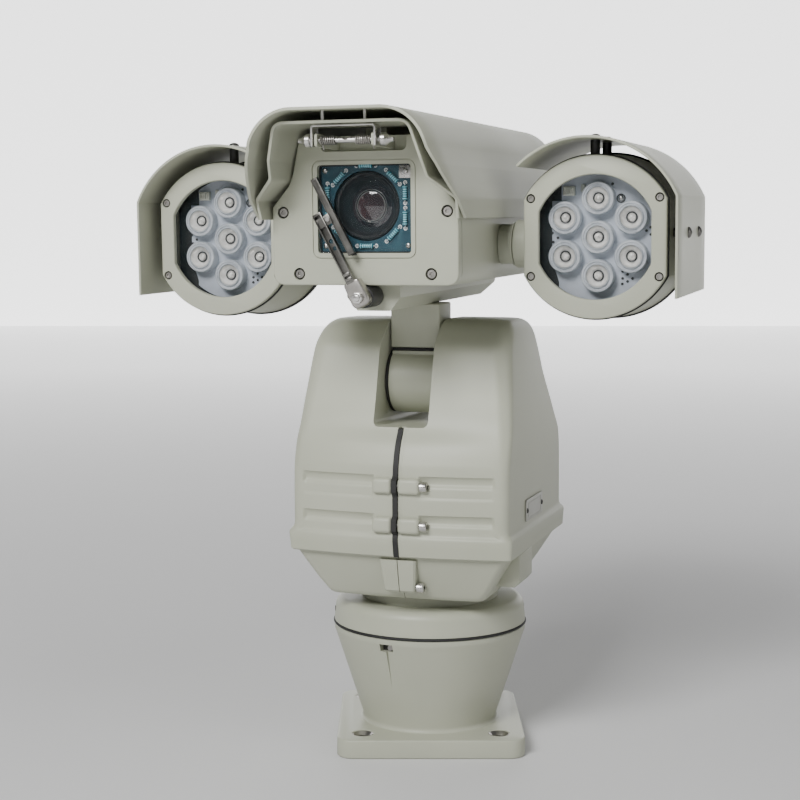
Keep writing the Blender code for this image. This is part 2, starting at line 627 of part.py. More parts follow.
def optics():
    body = box("camera_block", TILT, (-29, 29), (-118, -20), (434, 492), BLACK)
    bevel(body, 2.0, 2)
    change(body, box("camera_foot", TILT, (-20, 20), (-100, -40), (TRAY_Z + 5 + GAP, 436)), "UNION")
    turned("lens_barrel", TILT, (0, -118 - GAP, LENS_Z),
           [(0, 30), (12, 30), (24, 42.2), (26.4, 42.2), (26.4, 24), (24, 22), (24, 0), (0, 0)],
           BLACK, turn=(90, 0, 0), steps=24, closed=False)
    board = box("heater_board", TILT, (-40, 40), (FRONT_Y + 9.6 + 1.2, FRONT_Y + 12.2), (426.5, 499.5), BOARD)
    change(board, rod("heater_hole", TILT, "Y", (0, 0, LENS_Z), 27.5, (-190, -140), sides=40))


# ---------------------------------------------------------------- wiper

def wiper():
    boss = rod("wiper_motor", TILT, "Y", (0, 0, WIPER_Z), 8.5, (-176, BRACKET_Y[0] - GAP), BLACK)
    bevel(boss, 0.8, 1)
    change(boss, rod("wiper_spindle", TILT, "Y", (0, 0, WIPER_Z), 3.0, (-187, -174), sides=16), "UNION")
    hub = rod("wiper_arm", WIPER, "Y", (0, 0, WIPER_Z), 9.3, (-186, -176 - GAP), STEEL, 28)
    bevel(hub, 1.0, 1)
    bar = box("arm_bar", WIPER, (-3.6, 3.6), (-186, -181), (WIPER_Z + 5, WIPER_Z + 72))
    change(hub, bar, "UNION")
    change(hub, box("arm_channel", WIPER, (-2.4, 2.4), (-182.6, -170), (WIPER_Z + 14, WIPER_Z + 80)))
    change(hub, rod("arm_bore", WIPER, "Y", (0, 0, WIPER_Z), 3.3, (-190, -170), sides=16))
    change(hub, box("arm_tongue", WIPER, (-3.6, 7.0), (-184.6, -182.8), (WIPER_Z + 60, WIPER_Z + 69)), "UNION")
    blade = slab("wiper_blade", WIPER, "XZ",
                 [(7.2, WIPER_Z + 32), (12.4, WIPER_Z + 32), (12.4, WIPER_Z + 97), (7.2, WIPER_Z + 97)],
                 (-182.5, -176.0), DARK)
    lip = box("blade_lip", WIPER, (9.2, 10.4), (-177, FRONT_Y - 0.4), (WIPER_Z + 32, WIPER_Z + 97))
    change(blade, lip, "UNION")


# ---------------------------------------------------------------- lamps

def lamp_ring_rows(centre, rows):
    return [[(x, y, z) for x, z in flat_sided(centre, radius, flat)] for y, radius, flat in rows]


def lamp(name, side, group):
    x = side * LAMP_X
    centre = (x, LAMP_Z)
    arm = rod(f"lamp_arm_{name}", TILT, "X", (0, ARM_Y, ARM_Z), ARM_R,
              tuple(sorted((side * (HOUSE_W + GAP), side * 88))), PAINT, 24)
    bevel(arm, 0.8, 1)
    ring_back = LAMP_Y + 5.2
    shell_front = ring_back + 2 * GAP + 1.8
    can = loft(f"lamp_body_{name}", group,
               lamp_ring_rows(centre, [(shell_front, 63.5, 56.0), (-8, 66.5, 59), (0, 67.5, 60)]), PAINT)
    change(can, rod(f"lamp_boss_{name}", group, "X", (0, ARM_Y, ARM_Z), 20,
                    tuple(sorted((side * (88 + GAP), side * 112)))), "UNION")
    change(can, loft(f"lamp_hollow_{name}", group,
                     lamp_ring_rows(centre, [(shell_front - 5, 60.5, 53), (-12, 60.5, 53)])))
    gasket = loft(f"lamp_gasket_{name}", group,
                  lamp_ring_rows(centre, [(ring_back + GAP, 65.3, 57.8), (shell_front - GAP, 65.3, 57.8)]), DARK)
    ring = loft(f"lamp_ring_{name}", group,
                lamp_ring_rows(centre, [(LAMP_Y, LAMP_R, LAMP_FLAT), (ring_back, LAMP_R, LAMP_FLAT)]), PAINT)
    bevel(ring, 1.0, 1, 60)
    for piece in (gasket, ring):
        change(piece, loft(f"{piece.name}_opening", group,
                           lamp_ring_rows(centre, [(-95, OPEN_R, OPEN_FLAT), (-50, OPEN_R, OPEN_FLAT)])))
    for i, (sx, sz) in enumerate(((-1, 1), (1, 1), (-1, -1), (1, -1))):
        spot = (x + sx * 51.3, 0, LAMP_Z + sz * 30.9)
        change(ring, rod(f"ring_seat_{name}_{i}", group, "Y", spot, 3.6, (-95, LAMP_Y + 2.4), sides=16))
    loft(f"lamp_glass_{name}", group,
         lamp_ring_rows(centre, [(shell_front + 0.2, 60, 52.5), (shell_front + 3, 60, 52.5)]), GLASS)
    board = loft(f"led_array_{name}", group, lamp_ring_rows(centre, [(-57, 55, 50), (-55, 55, 50)]), LED)
    spots = [(0, 0)] + [(LED_PITCH * math.cos(math.radians(a)), LED_PITCH * math.sin(math.radians(a)))
                        for a in range(30, 390, 60)]
    for i, (dx, dz) in enumerate(spots):
        holder = rod(f"led_holder_{name}_{i}", group, "Y", (x + dx, 0, LAMP_Z + dz), 13.2, (-66.7, -56.5), sides=12)
        change(board, holder, "UNION")
    stand = rod(f"led_stand_{name}", group, "Y", (x, 0, LAMP_Z), 30, (-55.5, -12 - GAP), sides=24)
    change(board, stand, "UNION")
    cap = loft(f"lamp_cap_{name}", group,
               lamp_ring_rows(centre, [(GAP, 68.8, 61.2), (3, 68.8, 61.2), (4, 64, 56), (22, 60, 52)]), PAINT)
    bevel(cap, 0.8, 1, 50)
    hood(name, side, group)


def hood(name, side, group):
    """A bent sheet over the top and the outer side of a lamp, on four spacers."""
    x = LAMP_X - HOOD_SHIFT
    kink = math.degrees(math.acos((HOOD_SIDE + HOOD_SHIFT) / HOOD_R))
    path = [(LAMP_X + HOOD_SIDE, LAMP_Z - 47)] + arc((x, LAMP_Z), HOOD_R, kink, 134, 15)
    path = [(side * a, z) for a, z in path]
    shade = sheet(f"lamp_hood_{name}", group, path, (-101, 62), 2.0, PAINT, -side)
    for i, (y, size) in enumerate(((-56, 64.6), (-12, 66.7))):
        spot = (side * x, y, 0)
        change(shade, rod(f"hood_post_top_{name}_{i}", group, "Z", spot, 4.0,
                          (LAMP_Z + size, LAMP_Z + HOOD_R - 1), sides=16), "UNION")
    for i, (y, size) in enumerate(((-50, 57.3), (-12, 59.0))):
        span = tuple(sorted((side * (LAMP_X + size), side * (LAMP_X + HOOD_SIDE - 1))))
        change(shade, rod(f"hood_post_side_{name}_{i}", group, "X", (0, y, LAMP_Z + 3), 4.0, span, sides=16), "UNION")


# ---------------------------------------------------------------- assembly

FIXED = Group("base_frame")
PAN = Group("pan_axis", turn=(0, 0, PAN_REST))
PAN_WHEEL = Group("pan_pinion_axis", at=(*PAN_MOTOR, 154), parent=PAN)
TILT_WHEEL = Group("tilt_pinion_axis", at=(47.5, TILT_Y, TILT_Z - TILT_DROP), parent=PAN)
TILT = Group("tilt_axis", at=(0, TILT_Y, TILT_Z), turn=(TILT_REST, 0, 0), parent=PAN)
COVER = Group("cover_hinge_axis", at=(0, HINGE_Y, HINGE_Z), parent=TILT)
WIPER = Group("wiper_axis", at=(0, WIPER_Y, WIPER_Z), turn=(0, WIPER_REST, 0), parent=TILT)
LAMP_LEFT = Group("lamp_axis_left", at=(-LAMP_X, ARM_Y, ARM_Z), parent=TILT)
LAMP_RIGHT = Group("lamp_axis_right", at=(LAMP_X, ARM_Y, ARM_Z), parent=TILT)

base_casting()
cable_gland()
pan_gasket()
pan_gear()
pan_ring()
body_half("body_left", -1)
body_half("body_right", 1)
seam_gasket()
seam_screws()
name_plate()
connector_box()
drives()
drum_seals()
tilt_drum()
tilt_gear()
neck()
head_bracket()
housing()
front_plate()
rear_plate()
window()
hoods()
cover_hinge()
optics()
wiper()
lamp("left", -1, LAMP_LEFT)
lamp("right", 1, LAMP_RIGHT)
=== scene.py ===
# %% [markdown]
# # Pan-tilt camera with two infrared lamps
# The part's own model gives the frame: where each piece is and how it moves.  This lesson dresses
# that frame with finished pieces.  Every piece is made in millimetres in the level frame of
# its own group (base, pan body, head) and then carried to its place at rest.

# %%
import json
import math

import bmesh
import bpy
from mathutils import Matrix, Vector


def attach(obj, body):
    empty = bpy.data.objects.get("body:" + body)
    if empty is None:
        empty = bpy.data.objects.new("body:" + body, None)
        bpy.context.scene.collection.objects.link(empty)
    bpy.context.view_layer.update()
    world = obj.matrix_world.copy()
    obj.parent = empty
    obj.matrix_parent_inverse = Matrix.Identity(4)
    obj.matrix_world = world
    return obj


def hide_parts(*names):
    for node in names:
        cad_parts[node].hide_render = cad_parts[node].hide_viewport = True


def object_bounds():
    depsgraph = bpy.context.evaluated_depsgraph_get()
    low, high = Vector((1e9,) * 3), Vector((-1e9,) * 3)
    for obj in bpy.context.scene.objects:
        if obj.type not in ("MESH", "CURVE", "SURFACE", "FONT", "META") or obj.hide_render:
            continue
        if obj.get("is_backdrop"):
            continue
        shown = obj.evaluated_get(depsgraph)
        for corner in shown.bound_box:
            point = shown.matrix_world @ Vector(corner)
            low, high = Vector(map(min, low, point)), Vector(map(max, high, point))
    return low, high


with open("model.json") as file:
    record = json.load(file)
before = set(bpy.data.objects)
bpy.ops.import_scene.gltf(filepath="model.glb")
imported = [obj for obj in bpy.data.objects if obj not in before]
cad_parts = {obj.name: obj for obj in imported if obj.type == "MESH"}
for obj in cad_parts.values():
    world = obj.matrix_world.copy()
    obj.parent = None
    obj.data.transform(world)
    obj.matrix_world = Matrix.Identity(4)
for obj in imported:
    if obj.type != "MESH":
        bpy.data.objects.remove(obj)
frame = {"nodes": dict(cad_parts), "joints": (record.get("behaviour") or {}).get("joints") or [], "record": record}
size_at_start = [list(corner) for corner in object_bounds()]
JOINTS = {joint["name"]: joint for joint in frame["joints"]}

# %% [markdown]
# ## Frames
# The joints say how far the body is turned on its foot and how far the head leans, so the
# level frames follow from them.

# %%
MM = 0.001
SCALE = Matrix.Scale(MM, 4)
pan_x = JOINTS["tilt"]["axis"]
PAN_TURN = math.atan2(pan_x[1], pan_x[0])
LEAN = math.asin(JOINTS["wiper_sweep"]["axis"][2])
TILT_PIVOT = Vector((0, -27.0, 317.0))
WIPER_PIVOT = Vector((0, -181.0, 395.4))
WIPER_LEAN = math.radians(-27.8)


def about(pivot, turn):
    return Matrix.Translation(pivot) @ turn @ Matrix.Translation(-pivot)


BASE = Matrix.Identity(4)
PAN = Matrix.Rotation(PAN_TURN, 4, "Z")
HEAD = PAN @ about(TILT_PIVOT, Matrix.Rotation(LEAN, 4, "X"))
WIPER = HEAD @ about(WIPER_PIVOT, Matrix.Rotation(WIPER_LEAN, 4, "Y"))
PLACE = {"base": BASE, "pan_body": PAN, "head": HEAD, "cover": HEAD, "wiper": WIPER,
         "lamp_left": HEAD, "lamp_right": HEAD}
print("pan at rest %.1f degrees, lean %.2f degrees" % (math.degrees(PAN_TURN), math.degrees(LEAN)))

# %% [markdown]
# ## Materials
# One small class writes the node trees.  Colours vary a little over each surface through
# object coordinates, and the paint has the faint orange peel of a sprayed casting.

# %%
class Socket:
    """An output socket that takes part in sums and products."""

    def __init__(self, skin, output):
        self.skin, self.output = skin, output

    def maths(self, operation, other):
        return self.skin.node("ShaderNodeMath", {"operation": operation}, {0: self, 1: other})

    def __mul__(self, other):
        return self.maths("MULTIPLY", other)

    def __add__(self, other):
        return self.maths("ADD", other)


class Skin:
    """A Principled material built node by node."""

    def __init__(self, name, **constants):
        self.material = bpy.data.materials.new(name)
        self.material.use_nodes = True
        self.tree = self.material.node_tree
        self.shader = self.tree.nodes["Principled BSDF"]
        for key, value in constants.items():
            self.shader.inputs[key.replace("_", " ")].default_value = value

    def node(self, kind, settings=None, inputs=None, output=0):
        made = self.tree.nodes.new(kind)
        for key, value in (settings or {}).items():
            setattr(made, key, value)
        for key, value in (inputs or {}).items():
            if isinstance(value, Socket):
                self.tree.links.new(value.output, made.inputs[key])
            else:
                made.inputs[key].default_value = value
        return Socket(self, made.outputs[output])

    def place(self, stretch=(1, 1, 1)):
        where = self.node("ShaderNodeTexCoord", output=3)
        return self.node("ShaderNodeMapping", None, {"Vector": where, "Scale": stretch})

    def noise(self, scale, detail=2.0, stretch=(1, 1, 1)):
        return self.node("ShaderNodeTexNoise", None,
                         {"Vector": self.place(stretch), "Scale": scale, "Detail": detail})

    def ramp(self, factor, low, high, start=0.35, end=0.65):
        """A colour that runs from low to high."""
        made = self.tree.nodes.new("ShaderNodeValToRGB")
        for stop, where, colour in zip(made.color_ramp.elements, (start, end), (low, high)):
            stop.position = where
            stop.color = (*colour, 1.0)
        self.tree.links.new(factor.output, made.inputs[0])
        return Socket(self, made.outputs[0])

    def feed(self, key, value):
        self.tree.links.new(value.output, self.shader.inputs[key])
        return self

    def bump(self, height, distance, strength=1.0):
        self.feed("Normal", self.node("ShaderNodeBump", None,
                                      {"Height": height, "Distance": distance, "Strength": strength}))
        return self


def toned(name, low, high, rough, scale=9.0, **constants):
    """A finish whose tone and roughness drift between two values."""
    skin = Skin(name, **constants)
    drift = skin.noise(scale, 3.0)
    skin.feed("Base Color", skin.ramp(drift, low, high))
    skin.feed("Roughness", drift * (rough[1] - rough[0]) + rough[0])
    return skin


paint = toned("grey_paint_finish", (0.408, 0.420, 0.332), (0.440, 0.450, 0.360), (0.36, 0.50), IOR=1.46)
rubber = toned("black_rubber_finish", (0.010, 0.010, 0.010), (0.022, 0.022, 0.021), (0.55, 0.8))
steel = toned("stainless_finish", (0.50, 0.49, 0.47), (0.66, 0.65, 0.63), (0.20, 0.36), 60, Metallic=1.0)
brushed = toned("wiper_metal_finish", (0.30, 0.29, 0.27), (0.47, 0.45, 0.42), (0.26, 0.42), 60, Metallic=1.0)
gunmetal = toned("gunmetal_finish", (0.10, 0.097, 0.09), (0.20, 0.195, 0.18), (0.28, 0.42), 60, Metallic=0.9)
black = toned("black_moulding_finish", (0.012, 0.012, 0.013), (0.028, 0.027, 0.028), (0.30, 0.5))
brass = toned("gear_metal_finish", (0.45, 0.33, 0.13), (0.58, 0.45, 0.20), (0.25, 0.4), 50, Metallic=1.0)
label = toned("plate_metal_finish", (0.40, 0.40, 0.36), (0.46, 0.46, 0.42), (0.35, 0.5), 40, Metallic=0.35)
board = toned("circuit_board_finish", (0.010, 0.052, 0.078), (0.020, 0.085, 0.115), (0.3, 0.45), 160)
tin = toned("solder_finish", (0.78, 0.80, 0.80), (0.92, 0.92, 0.91), (0.25, 0.4), 200, Metallic=0.1)
resistor = toned("resistor_finish", (0.015, 0.13, 0.18), (0.03, 0.20, 0.26), (0.25, 0.4), 420,
                 Coat_Weight=0.4)
band = toned("resistor_band_finish", (0.24, 0.60, 0.70), (0.42, 0.78, 0.86), (0.25, 0.4), 300)
lamp_board = toned("lamp_board_finish", (0.46, 0.50, 0.56), (0.56, 0.60, 0.67), (0.35, 0.5), 70)
holder = toned("lamp_holder_finish", (0.44, 0.47, 0.51), (0.58, 0.61, 0.65), (0.22, 0.34), 80,
               Coat_Weight=0.4)
mirror = toned("reflector_finish", (0.80, 0.79, 0.76), (0.98, 0.97, 0.95), (0.10, 0.30), 260, Metallic=0.25)
die = toned("lamp_die_finish", (0.42, 0.41, 0.38), (0.86, 0.84, 0.80), (0.04, 0.12), 420, Coat_Weight=1.0)
# Near black: the own colour of dark screws and board dots, and also painted shade in the counterbores, the base
# pockets and the lamp cans
dark_and_painted_shade = toned("dark_marks_and_painted_shade_finish", (0.015, 0.014, 0.013), (0.035, 0.033, 0.030), (0.5, 0.7), 80)
pad = toned("clear_plastic_finish", (0.50, 0.52, 0.45), (0.60, 0.60, 0.52), (0.3, 0.4), 90)
lens_coat = toned("lens_coating_finish", (0.012, 0.006, 0.008), (0.055, 0.022, 0.028), (0.03, 0.07), 25,
                  Coat_Weight=1.0, IOR=1.6)
lens_deep = toned("lens_depth_finish", (0.020, 0.010, 0.010), (0.075, 0.030, 0.032), (0.04, 0.10), 40,
                  Coat_Weight=1.0, IOR=1.7)

# Fine grain: scale, stretch along Z, depth in metres, strength
GRAIN = {paint: (900, 1, 0.00008, 0.35), rubber: (1500, 1, 0.00005, 0.4), black: (1200, 1, 0.00005, 0.3),
         steel: (700, 8, 0.00004, 0.5), brushed: (800, 6, 0.00004, 0.5), gunmetal: (800, 6, 0.00004, 0.5)}
for skin, (scale, stretch, depth, strength) in GRAIN.items():
    skin.bump(skin.noise(scale, stretch=(1, 1, stretch)), depth, strength)

# A thin clear sheet: a coat of reflection over a see-through body
glass = Skin("clear_glass_finish", IOR=1.45)
drift = glass.noise(6.0)
glass.feed("Base Color", glass.ramp(drift, (0.05, 0.075, 0.085), (0.055, 0.0825, 0.0935)))
glass.feed("Roughness", drift * 0.03 + 0.02)
glass.feed("Alpha", drift * 0.02 + 0.06)

# The finishes of each material slot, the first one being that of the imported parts
SLOTS = {"grey_paint": [paint], "black_rubber": [rubber], "clear_glass": [glass], "gear_metal": [brass],
         "stainless_steel": [steel, brushed, gunmetal, tin, mirror], "plate_metal": [label],
         "black_metal": [black, dark_and_painted_shade, lens_coat, lens_deep], "circuit_board": [board, resistor, band],
         "lamp_board": [lamp_board, holder, die, pad]}
for slot, skins in SLOTS.items():
    for skin in skins:
        skin.slot = slot
node_slot = {entry["node"]: entry["material_slot"] for entry in frame["record"]["subparts"]}
for name, node in frame["nodes"].items():
    node.data.materials.clear()
    node.data.materials.append(SLOTS[node_slot[name]][0].material)
print(len(bpy.data.materials), "materials")

# %% [markdown]
# ## Shape makers
# Working shapes are plain meshes in millimetres.  Booleans and bevels are baked at once, and
# `piece` carries the result to its frame, gives it a finish and binds it to its body.

# %%
WORK = bpy.context.scene.collection


def as_object(bm):
    mesh = bpy.data.meshes.new("work")
    bm.to_mesh(mesh)
    bm.free()
    obj = bpy.data.objects.new("work", mesh)
    WORK.objects.link(obj)
    return obj


def shape(bm):
    bmesh.ops.recalc_face_normals(bm, faces=bm.faces)
    return as_object(bm)


def fused(objs):
    """Several loose shapes as one mesh."""
    bm = bmesh.new()
    for obj in objs:
        bm.from_mesh(obj.data)
        bpy.data.objects.remove(obj)
    return as_object(bm)


def settle(obj):
    """Bakes the modifiers into the mesh."""
    bpy.context.view_layer.update()
    ready = obj.evaluated_get(bpy.context.evaluated_depsgraph_get())
    mesh = bpy.data.meshes.new_from_object(ready)
    old = obj.data
    obj.modifiers.clear()
    obj.data = mesh
    bpy.data.meshes.remove(old)
    return obj


def combine(obj, others, operation):
    for other in others:
        made = obj.modifiers.new("combine", "BOOLEAN")
        made.operation = operation
        made.object = other
    settle(obj)
    for other in others:
        bpy.data.objects.remove(other)
    return obj


def cut(obj, *others):
    return combine(obj, others, "DIFFERENCE")


def join(obj, *others):
    return combine(obj, others, "UNION")


def soften(obj, width, segments=3, angle=40.0):
    made = obj.modifiers.new("soften", "BEVEL")
    made.width = width
    made.segments = segments
    made.limit_method = "ANGLE"
    made.angle_limit = math.radians(angle)
    return settle(obj)


def block(x, y, z):
    bm = bmesh.new()
    middle = Vector((x[0] + x[1], y[0] + y[1], z[0] + z[1])) / 2
    size = (abs(x[1] - x[0]), abs(y[1] - y[0]), abs(z[1] - z[0]), 1)
    bmesh.ops.create_cube(bm, size=1.0, matrix=Matrix.Translation(middle) @ Matrix.Diagonal(size))
    return shape(bm)


TO_AXIS = {"X": Matrix.Rotation(math.pi / 2, 4, "Y"), "Z": Matrix.Identity(4),
           "Y": Matrix.Rotation(-math.pi / 2, 4, "X")}


def rod(axis, at, radius, span, sides=48):
    middle = Vector(at)
    middle["XYZ".index(axis)] = (span[0] + span[1]) / 2
    bm = bmesh.new()
    bmesh.ops.create_cone(bm, cap_ends=True, segments=sides, radius1=radius, radius2=radius,
                          depth=abs(span[1] - span[0]), matrix=Matrix.Translation(middle) @ TO_AXIS[axis])
    return shape(bm)


def turned(profile, axis="Z", at=(0, 0, 0), steps=96, flip=False):
    """A closed ring or a solid of revolution from (radius, height) points."""
    bm = bmesh.new()
    place = Matrix.Translation(Vector(at)) @ TO_AXIS[axis]
    if flip:
        place = place @ Matrix.Rotation(math.pi, 4, "X")
    rows = []
    for i in range(steps):
        turn = 2 * math.pi * i / steps
        rows.append([place @ Vector((r * math.cos(turn), r * math.sin(turn), z)) for r, z in profile])
    poles = {j: bm.verts.new(place @ Vector((0, 0, z))) for j, (r, z) in enumerate(profile) if r == 0}
    grid = [[poles.get(j) or bm.verts.new(p) for j, p in enumerate(row)] for row in rows]
    count = len(profile)
    for a, b in zip(grid, grid[1:] + grid[:1]):
        for j in range(count):
            k = (j + 1) % count
            corners = list(dict.fromkeys((a[j], a[k], b[k], b[j])))
            if len(corners) > 2:
                bm.faces.new(corners)
    return shape(bm)


def loft(rings):
    """A closed solid through rings of equal length."""
    bm = bmesh.new()
    rows = [[bm.verts.new(p) for p in ring] for ring in rings]
    for low, high in zip(rows, rows[1:]):
        for i in range(len(low)):
            j = (i + 1) % len(low)
            bm.faces.new((low[i], low[j], high[j], high[i]))
    bm.faces.new(rows[0])
    bm.faces.new(rows[-1])
    return shape(bm)


def slab(outline, span, plane="XZ"):
    if plane == "XZ":
        return loft([[(a, d, b) for a, b in outline] for d in span])
    if plane == "YZ":
        return loft([[(d, a, b) for a, b in outline] for d in span])
    return loft([[(a, b, d) for a, b in outline] for d in span])


def sheet(path, span, thickness, steps=1):
    """A bent sheet: an open path of (x, z) with the thickness on its inner side."""
    inner = []
    for i, (x, z) in enumerate(path):
        a, b = Vector(path[max(i - 1, 0)]), Vector(path[min(i + 1, len(path) - 1)])
        before, after = (Vector((x, z)) - a), (b - Vector((x, z)))
        side = before.normalized() + after.normalized()
        normal = Vector((-side.y, side.x)).normalized()
        edge = (before if before.length else after).normalized()
        stretch = max(0.4, abs(Vector((-edge.y, edge.x)).dot(normal)))
        inner.append((x + normal.x * thickness / stretch, z + normal.y * thickness / stretch))
    stations = [span[0] + (span[1] - span[0]) * i / steps for i in range(steps + 1)]
    return slab(list(path) + inner[::-1], stations)


def tube(points, radius, sides=8):
    """A round wire along a path, its ring carried along without twist."""
    bm = bmesh.new()
    points = [Vector(p) for p in points]
    guide = Vector((0.3, 0.5, 0.81)).normalized()
    rings = []
    for i, p in enumerate(points):
        ahead = (points[min(i + 1, len(points) - 1)] - points[max(i - 1, 0)]).normalized()
        side = (guide - ahead * guide.dot(ahead)).normalized()
        guide = side
        up = ahead.cross(side)
        rings.append([bm.verts.new(p + (side * math.cos(t) + up * math.sin(t)) * radius)
                      for t in (2 * math.pi * j / sides for j in range(sides))])
    for a, b in zip(rings, rings[1:]):
        for j in range(sides):
            k = (j + 1) % sides
            bm.faces.new((a[j], a[k], b[k], b[j]))
    bm.faces.new(rings[0])
    bm.faces.new(rings[-1])
    return shape(bm)


def arc(centre, radius, start, end, count):
    turns = [math.radians(start + (end - start) * i / (count - 1)) for i in range(count)]
    return [(centre[0] + radius * math.cos(t), centre[1] + radius * math.sin(t)) for t in turns]


def rounded(x, z, radius, count=7):
    """A rectangle with round corners, counter-clockwise."""
    path = []
    for cx, cz, start in ((x[1] - radius, z[1] - radius, 0), (x[0] + radius, z[1] - radius, 90),
                          (x[0] + radius, z[0] + radius, 180), (x[1] - radius, z[0] + radius, 270)):
        path += arc((cx, cz), radius, start, start + 90, count)
    return path


def bend(before, corner, after, radius, limit, count):
    """A round bend at a corner, which may carry its own radius."""
    here = Vector(corner[:2])
    r = corner[2] if len(corner) > 2 else radius
    first, second = Vector(before[:2]) - here, Vector(after[:2]) - here
    reach = min(r / math.tan(first.angle(second) / 2), limit * first.length, limit * second.length)
    a, b = here + first.normalized() * reach, here + second.normalized() * reach
    return [tuple(a * (1 - t) ** 2 + here * 2 * t * (1 - t) + b * t ** 2)
            for t in (k / count for k in range(count + 1))]


def filleted(points, radius, count=6):
    """A closed outline with every corner rounded."""
    path = []
    for i, corner in enumerate(points):
        path += bend(points[i - 1], corner, points[(i + 1) % len(points)], radius, 0.49, count)
    return path


def softened_path(points, radius, count=7):
    """An open path with round bends."""
    path = [points[0][:2]]
    for before, corner, after in zip(points, points[1:], points[2:]):
        path += bend(before, corner, after, radius, 0.45, count)
    return path + [points[-1][:2]]


def mirrored(half):
    return list(half) + [(-x, z) for x, z in reversed(half)]


made_pieces = []


def piece(name, obj, body, skin, *replaces, slot=None, angle=32.0):
    """Names a finished shape, moves it to its place at rest and binds it to a body.

    Edges sharper than `angle` degrees stay crisp. The `slot` argument is not used.
    """
    obj.name = obj.data.name = name
    obj.data.transform(SCALE @ PLACE[body])
    obj.data.materials.clear()
    obj.data.materials.append(skin.material)
    obj.data.shade_smooth()
    obj.data.set_sharp_from_angle(angle=math.radians(angle))
    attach(obj, body)
    if replaces:
        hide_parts(*replaces)
    made_pieces.append(obj)


def report(what):
    print(what, "-", len(made_pieces), "pieces so far")


# %% [markdown]
# ## Repeated screws
# A socket-head screw is made once and set out by Geometry Nodes on one point per screw; the
# point's own direction turns it.  The result is baked to one mesh for each set of screws.

# %%
def socket_screw(radius, height, socket):
    """A cap screw along +Z with its head's underside at Z = 0."""
    rows = [(0, 0), (radius, 0), (radius, height * 0.86), (radius * 0.9, height), (0, height)]
    return cut(turned(rows, steps=28), rod("Z", (0, 0, 0), socket, (height * 0.42, height + 2), 6))


def dome_screw(radius, height):
    """A domed cap with a small socket."""
    turns = [math.radians(a) for a in range(0, 90, 15)]
    rows = [(radius * math.cos(t), height * math.sin(t)) for t in turns]
    head = turned([(0, 0)] + rows + [(0, height)], steps=24)
    return cut(head, rod("Z", (0, 0, 0), radius * 0.36, (height * 0.5, height + 2), 6))


def scattered(template, spots, skin, seed):
    """Copies of a template on points, each turned from +Z to the given direction."""
    mesh = bpy.data.meshes.new("spots")
    mesh.from_pydata([spot for spot, _ in spots], [], [])
    aim = mesh.attributes.new("aim", "FLOAT_VECTOR", "POINT")
    for entry, (_, direction) in zip(aim.data, spots):
        entry.vector = direction
    obj = bpy.data.objects.new("spots", mesh)
    WORK.objects.link(obj)

    tree = bpy.data.node_groups.new("copies", "GeometryNodeTree")
    sockets = {}
    for key, kind in (("Geometry", "Geometry"), ("Template", "Object"), ("Spin", "Float"), ("Seed", "Int")):
        made = tree.interface.new_socket(key, in_out="INPUT", socket_type="NodeSocket" + kind)
        sockets[key] = made.identifier
    tree.interface.new_socket("Geometry", in_out="OUTPUT", socket_type="NodeSocketGeometry")
    add, link = tree.nodes.new, tree.links.new
    start, end = add("NodeGroupInput"), add("NodeGroupOutput")
    info = add("GeometryNodeObjectInfo")
    named = add("GeometryNodeInputNamedAttribute")
    named.data_type = "FLOAT_VECTOR"
    named.inputs["Name"].default_value = "aim"
    align = add("FunctionNodeAlignRotationToVector")
    align.axis = "Z"
    random = add("FunctionNodeRandomValue")
    turn = add("FunctionNodeAxisAngleToRotation")
    both = add("FunctionNodeRotateRotation")
    both.rotation_space = "LOCAL"
    copies = add("GeometryNodeInstanceOnPoints")
    real = add("GeometryNodeRealizeInstances")
    coat = add("GeometryNodeSetMaterial")
    coat.inputs["Material"].default_value = skin.material
    link(start.outputs["Template"], info.inputs["Object"])
    link(named.outputs["Attribute"], align.inputs["Vector"])
    link(start.outputs["Spin"], random.inputs[3])
    link(start.outputs["Seed"], random.inputs["Seed"])
    link(random.outputs[1], turn.inputs["Angle"])
    link(align.outputs[0], both.inputs[0])
    link(turn.outputs[0], both.inputs[1])
    link(start.outputs["Geometry"], copies.inputs["Points"])
    link(info.outputs["Geometry"], copies.inputs["Instance"])
    link(both.outputs[0], copies.inputs["Rotation"])
    for before, after in ((copies, real), (real, coat), (coat, end)):
        link(before.outputs[0], after.inputs[0])

    setter = obj.modifiers.new("copies", "NODES")
    setter.node_group = tree
    setter[sockets["Template"]] = template
    setter[sockets["Spin"]] = 2 * math.pi
    setter[sockets["Seed"]] = seed
    settle(obj)
    bpy.data.objects.remove(template)
    bpy.data.node_groups.remove(tree)
    return obj


def copied(name, template, spots, body, skin, seed, slot=None, angle=32.0):
    """Scattered copies as a piece of their own."""
    piece(name, scattered(template, spots, skin, seed), body, skin, slot=slot, angle=angle)


# %% [markdown]
# ## Base
# A foot plate with round corners and counterbored holes, a turned cone that flares from it,
# and the gland for the cable at the back.

# %%
PLATE, PLATE_T, BOLT = 80.0, 16.0, 58.2
RIM_R, RIM_Z = 84.3, 101.5
plate = slab(rounded((-PLATE, PLATE), (-PLATE, PLATE), 14, 12), (0, PLATE_T), "XY")
plate = soften(plate, 1.4, 3, 60)
cone_side = [(61.0, PLATE_T - 2), (61.0, 16.1), (60.0, 16.8), (59.3, 18.2), (59.3, 20.5), (65.3, 39)]
cone_side += [(82.2, 91.2), (83.2, 94.4), (84.1, 96.4), (RIM_R, 98.5), (RIM_R, 100.9), (RIM_R - 0.6, RIM_Z)]
cone_side += [(78, RIM_Z)]
cone = turned([(0, PLATE_T - 2)] + cone_side + [(76, 92), (58, 39), (52, 23), (0, 23)], steps=128)
boss = soften(block((-17, 17), (50, 80), (44, 78)), 3.0)
base = join(plate, cone, boss)
base = cut(base, rod("Y", (0, 0, 61), 8.4, (40, 90)))
corners = [(sx * BOLT, sy * BOLT) for sx in (-1, 1) for sy in (-1, 1)]
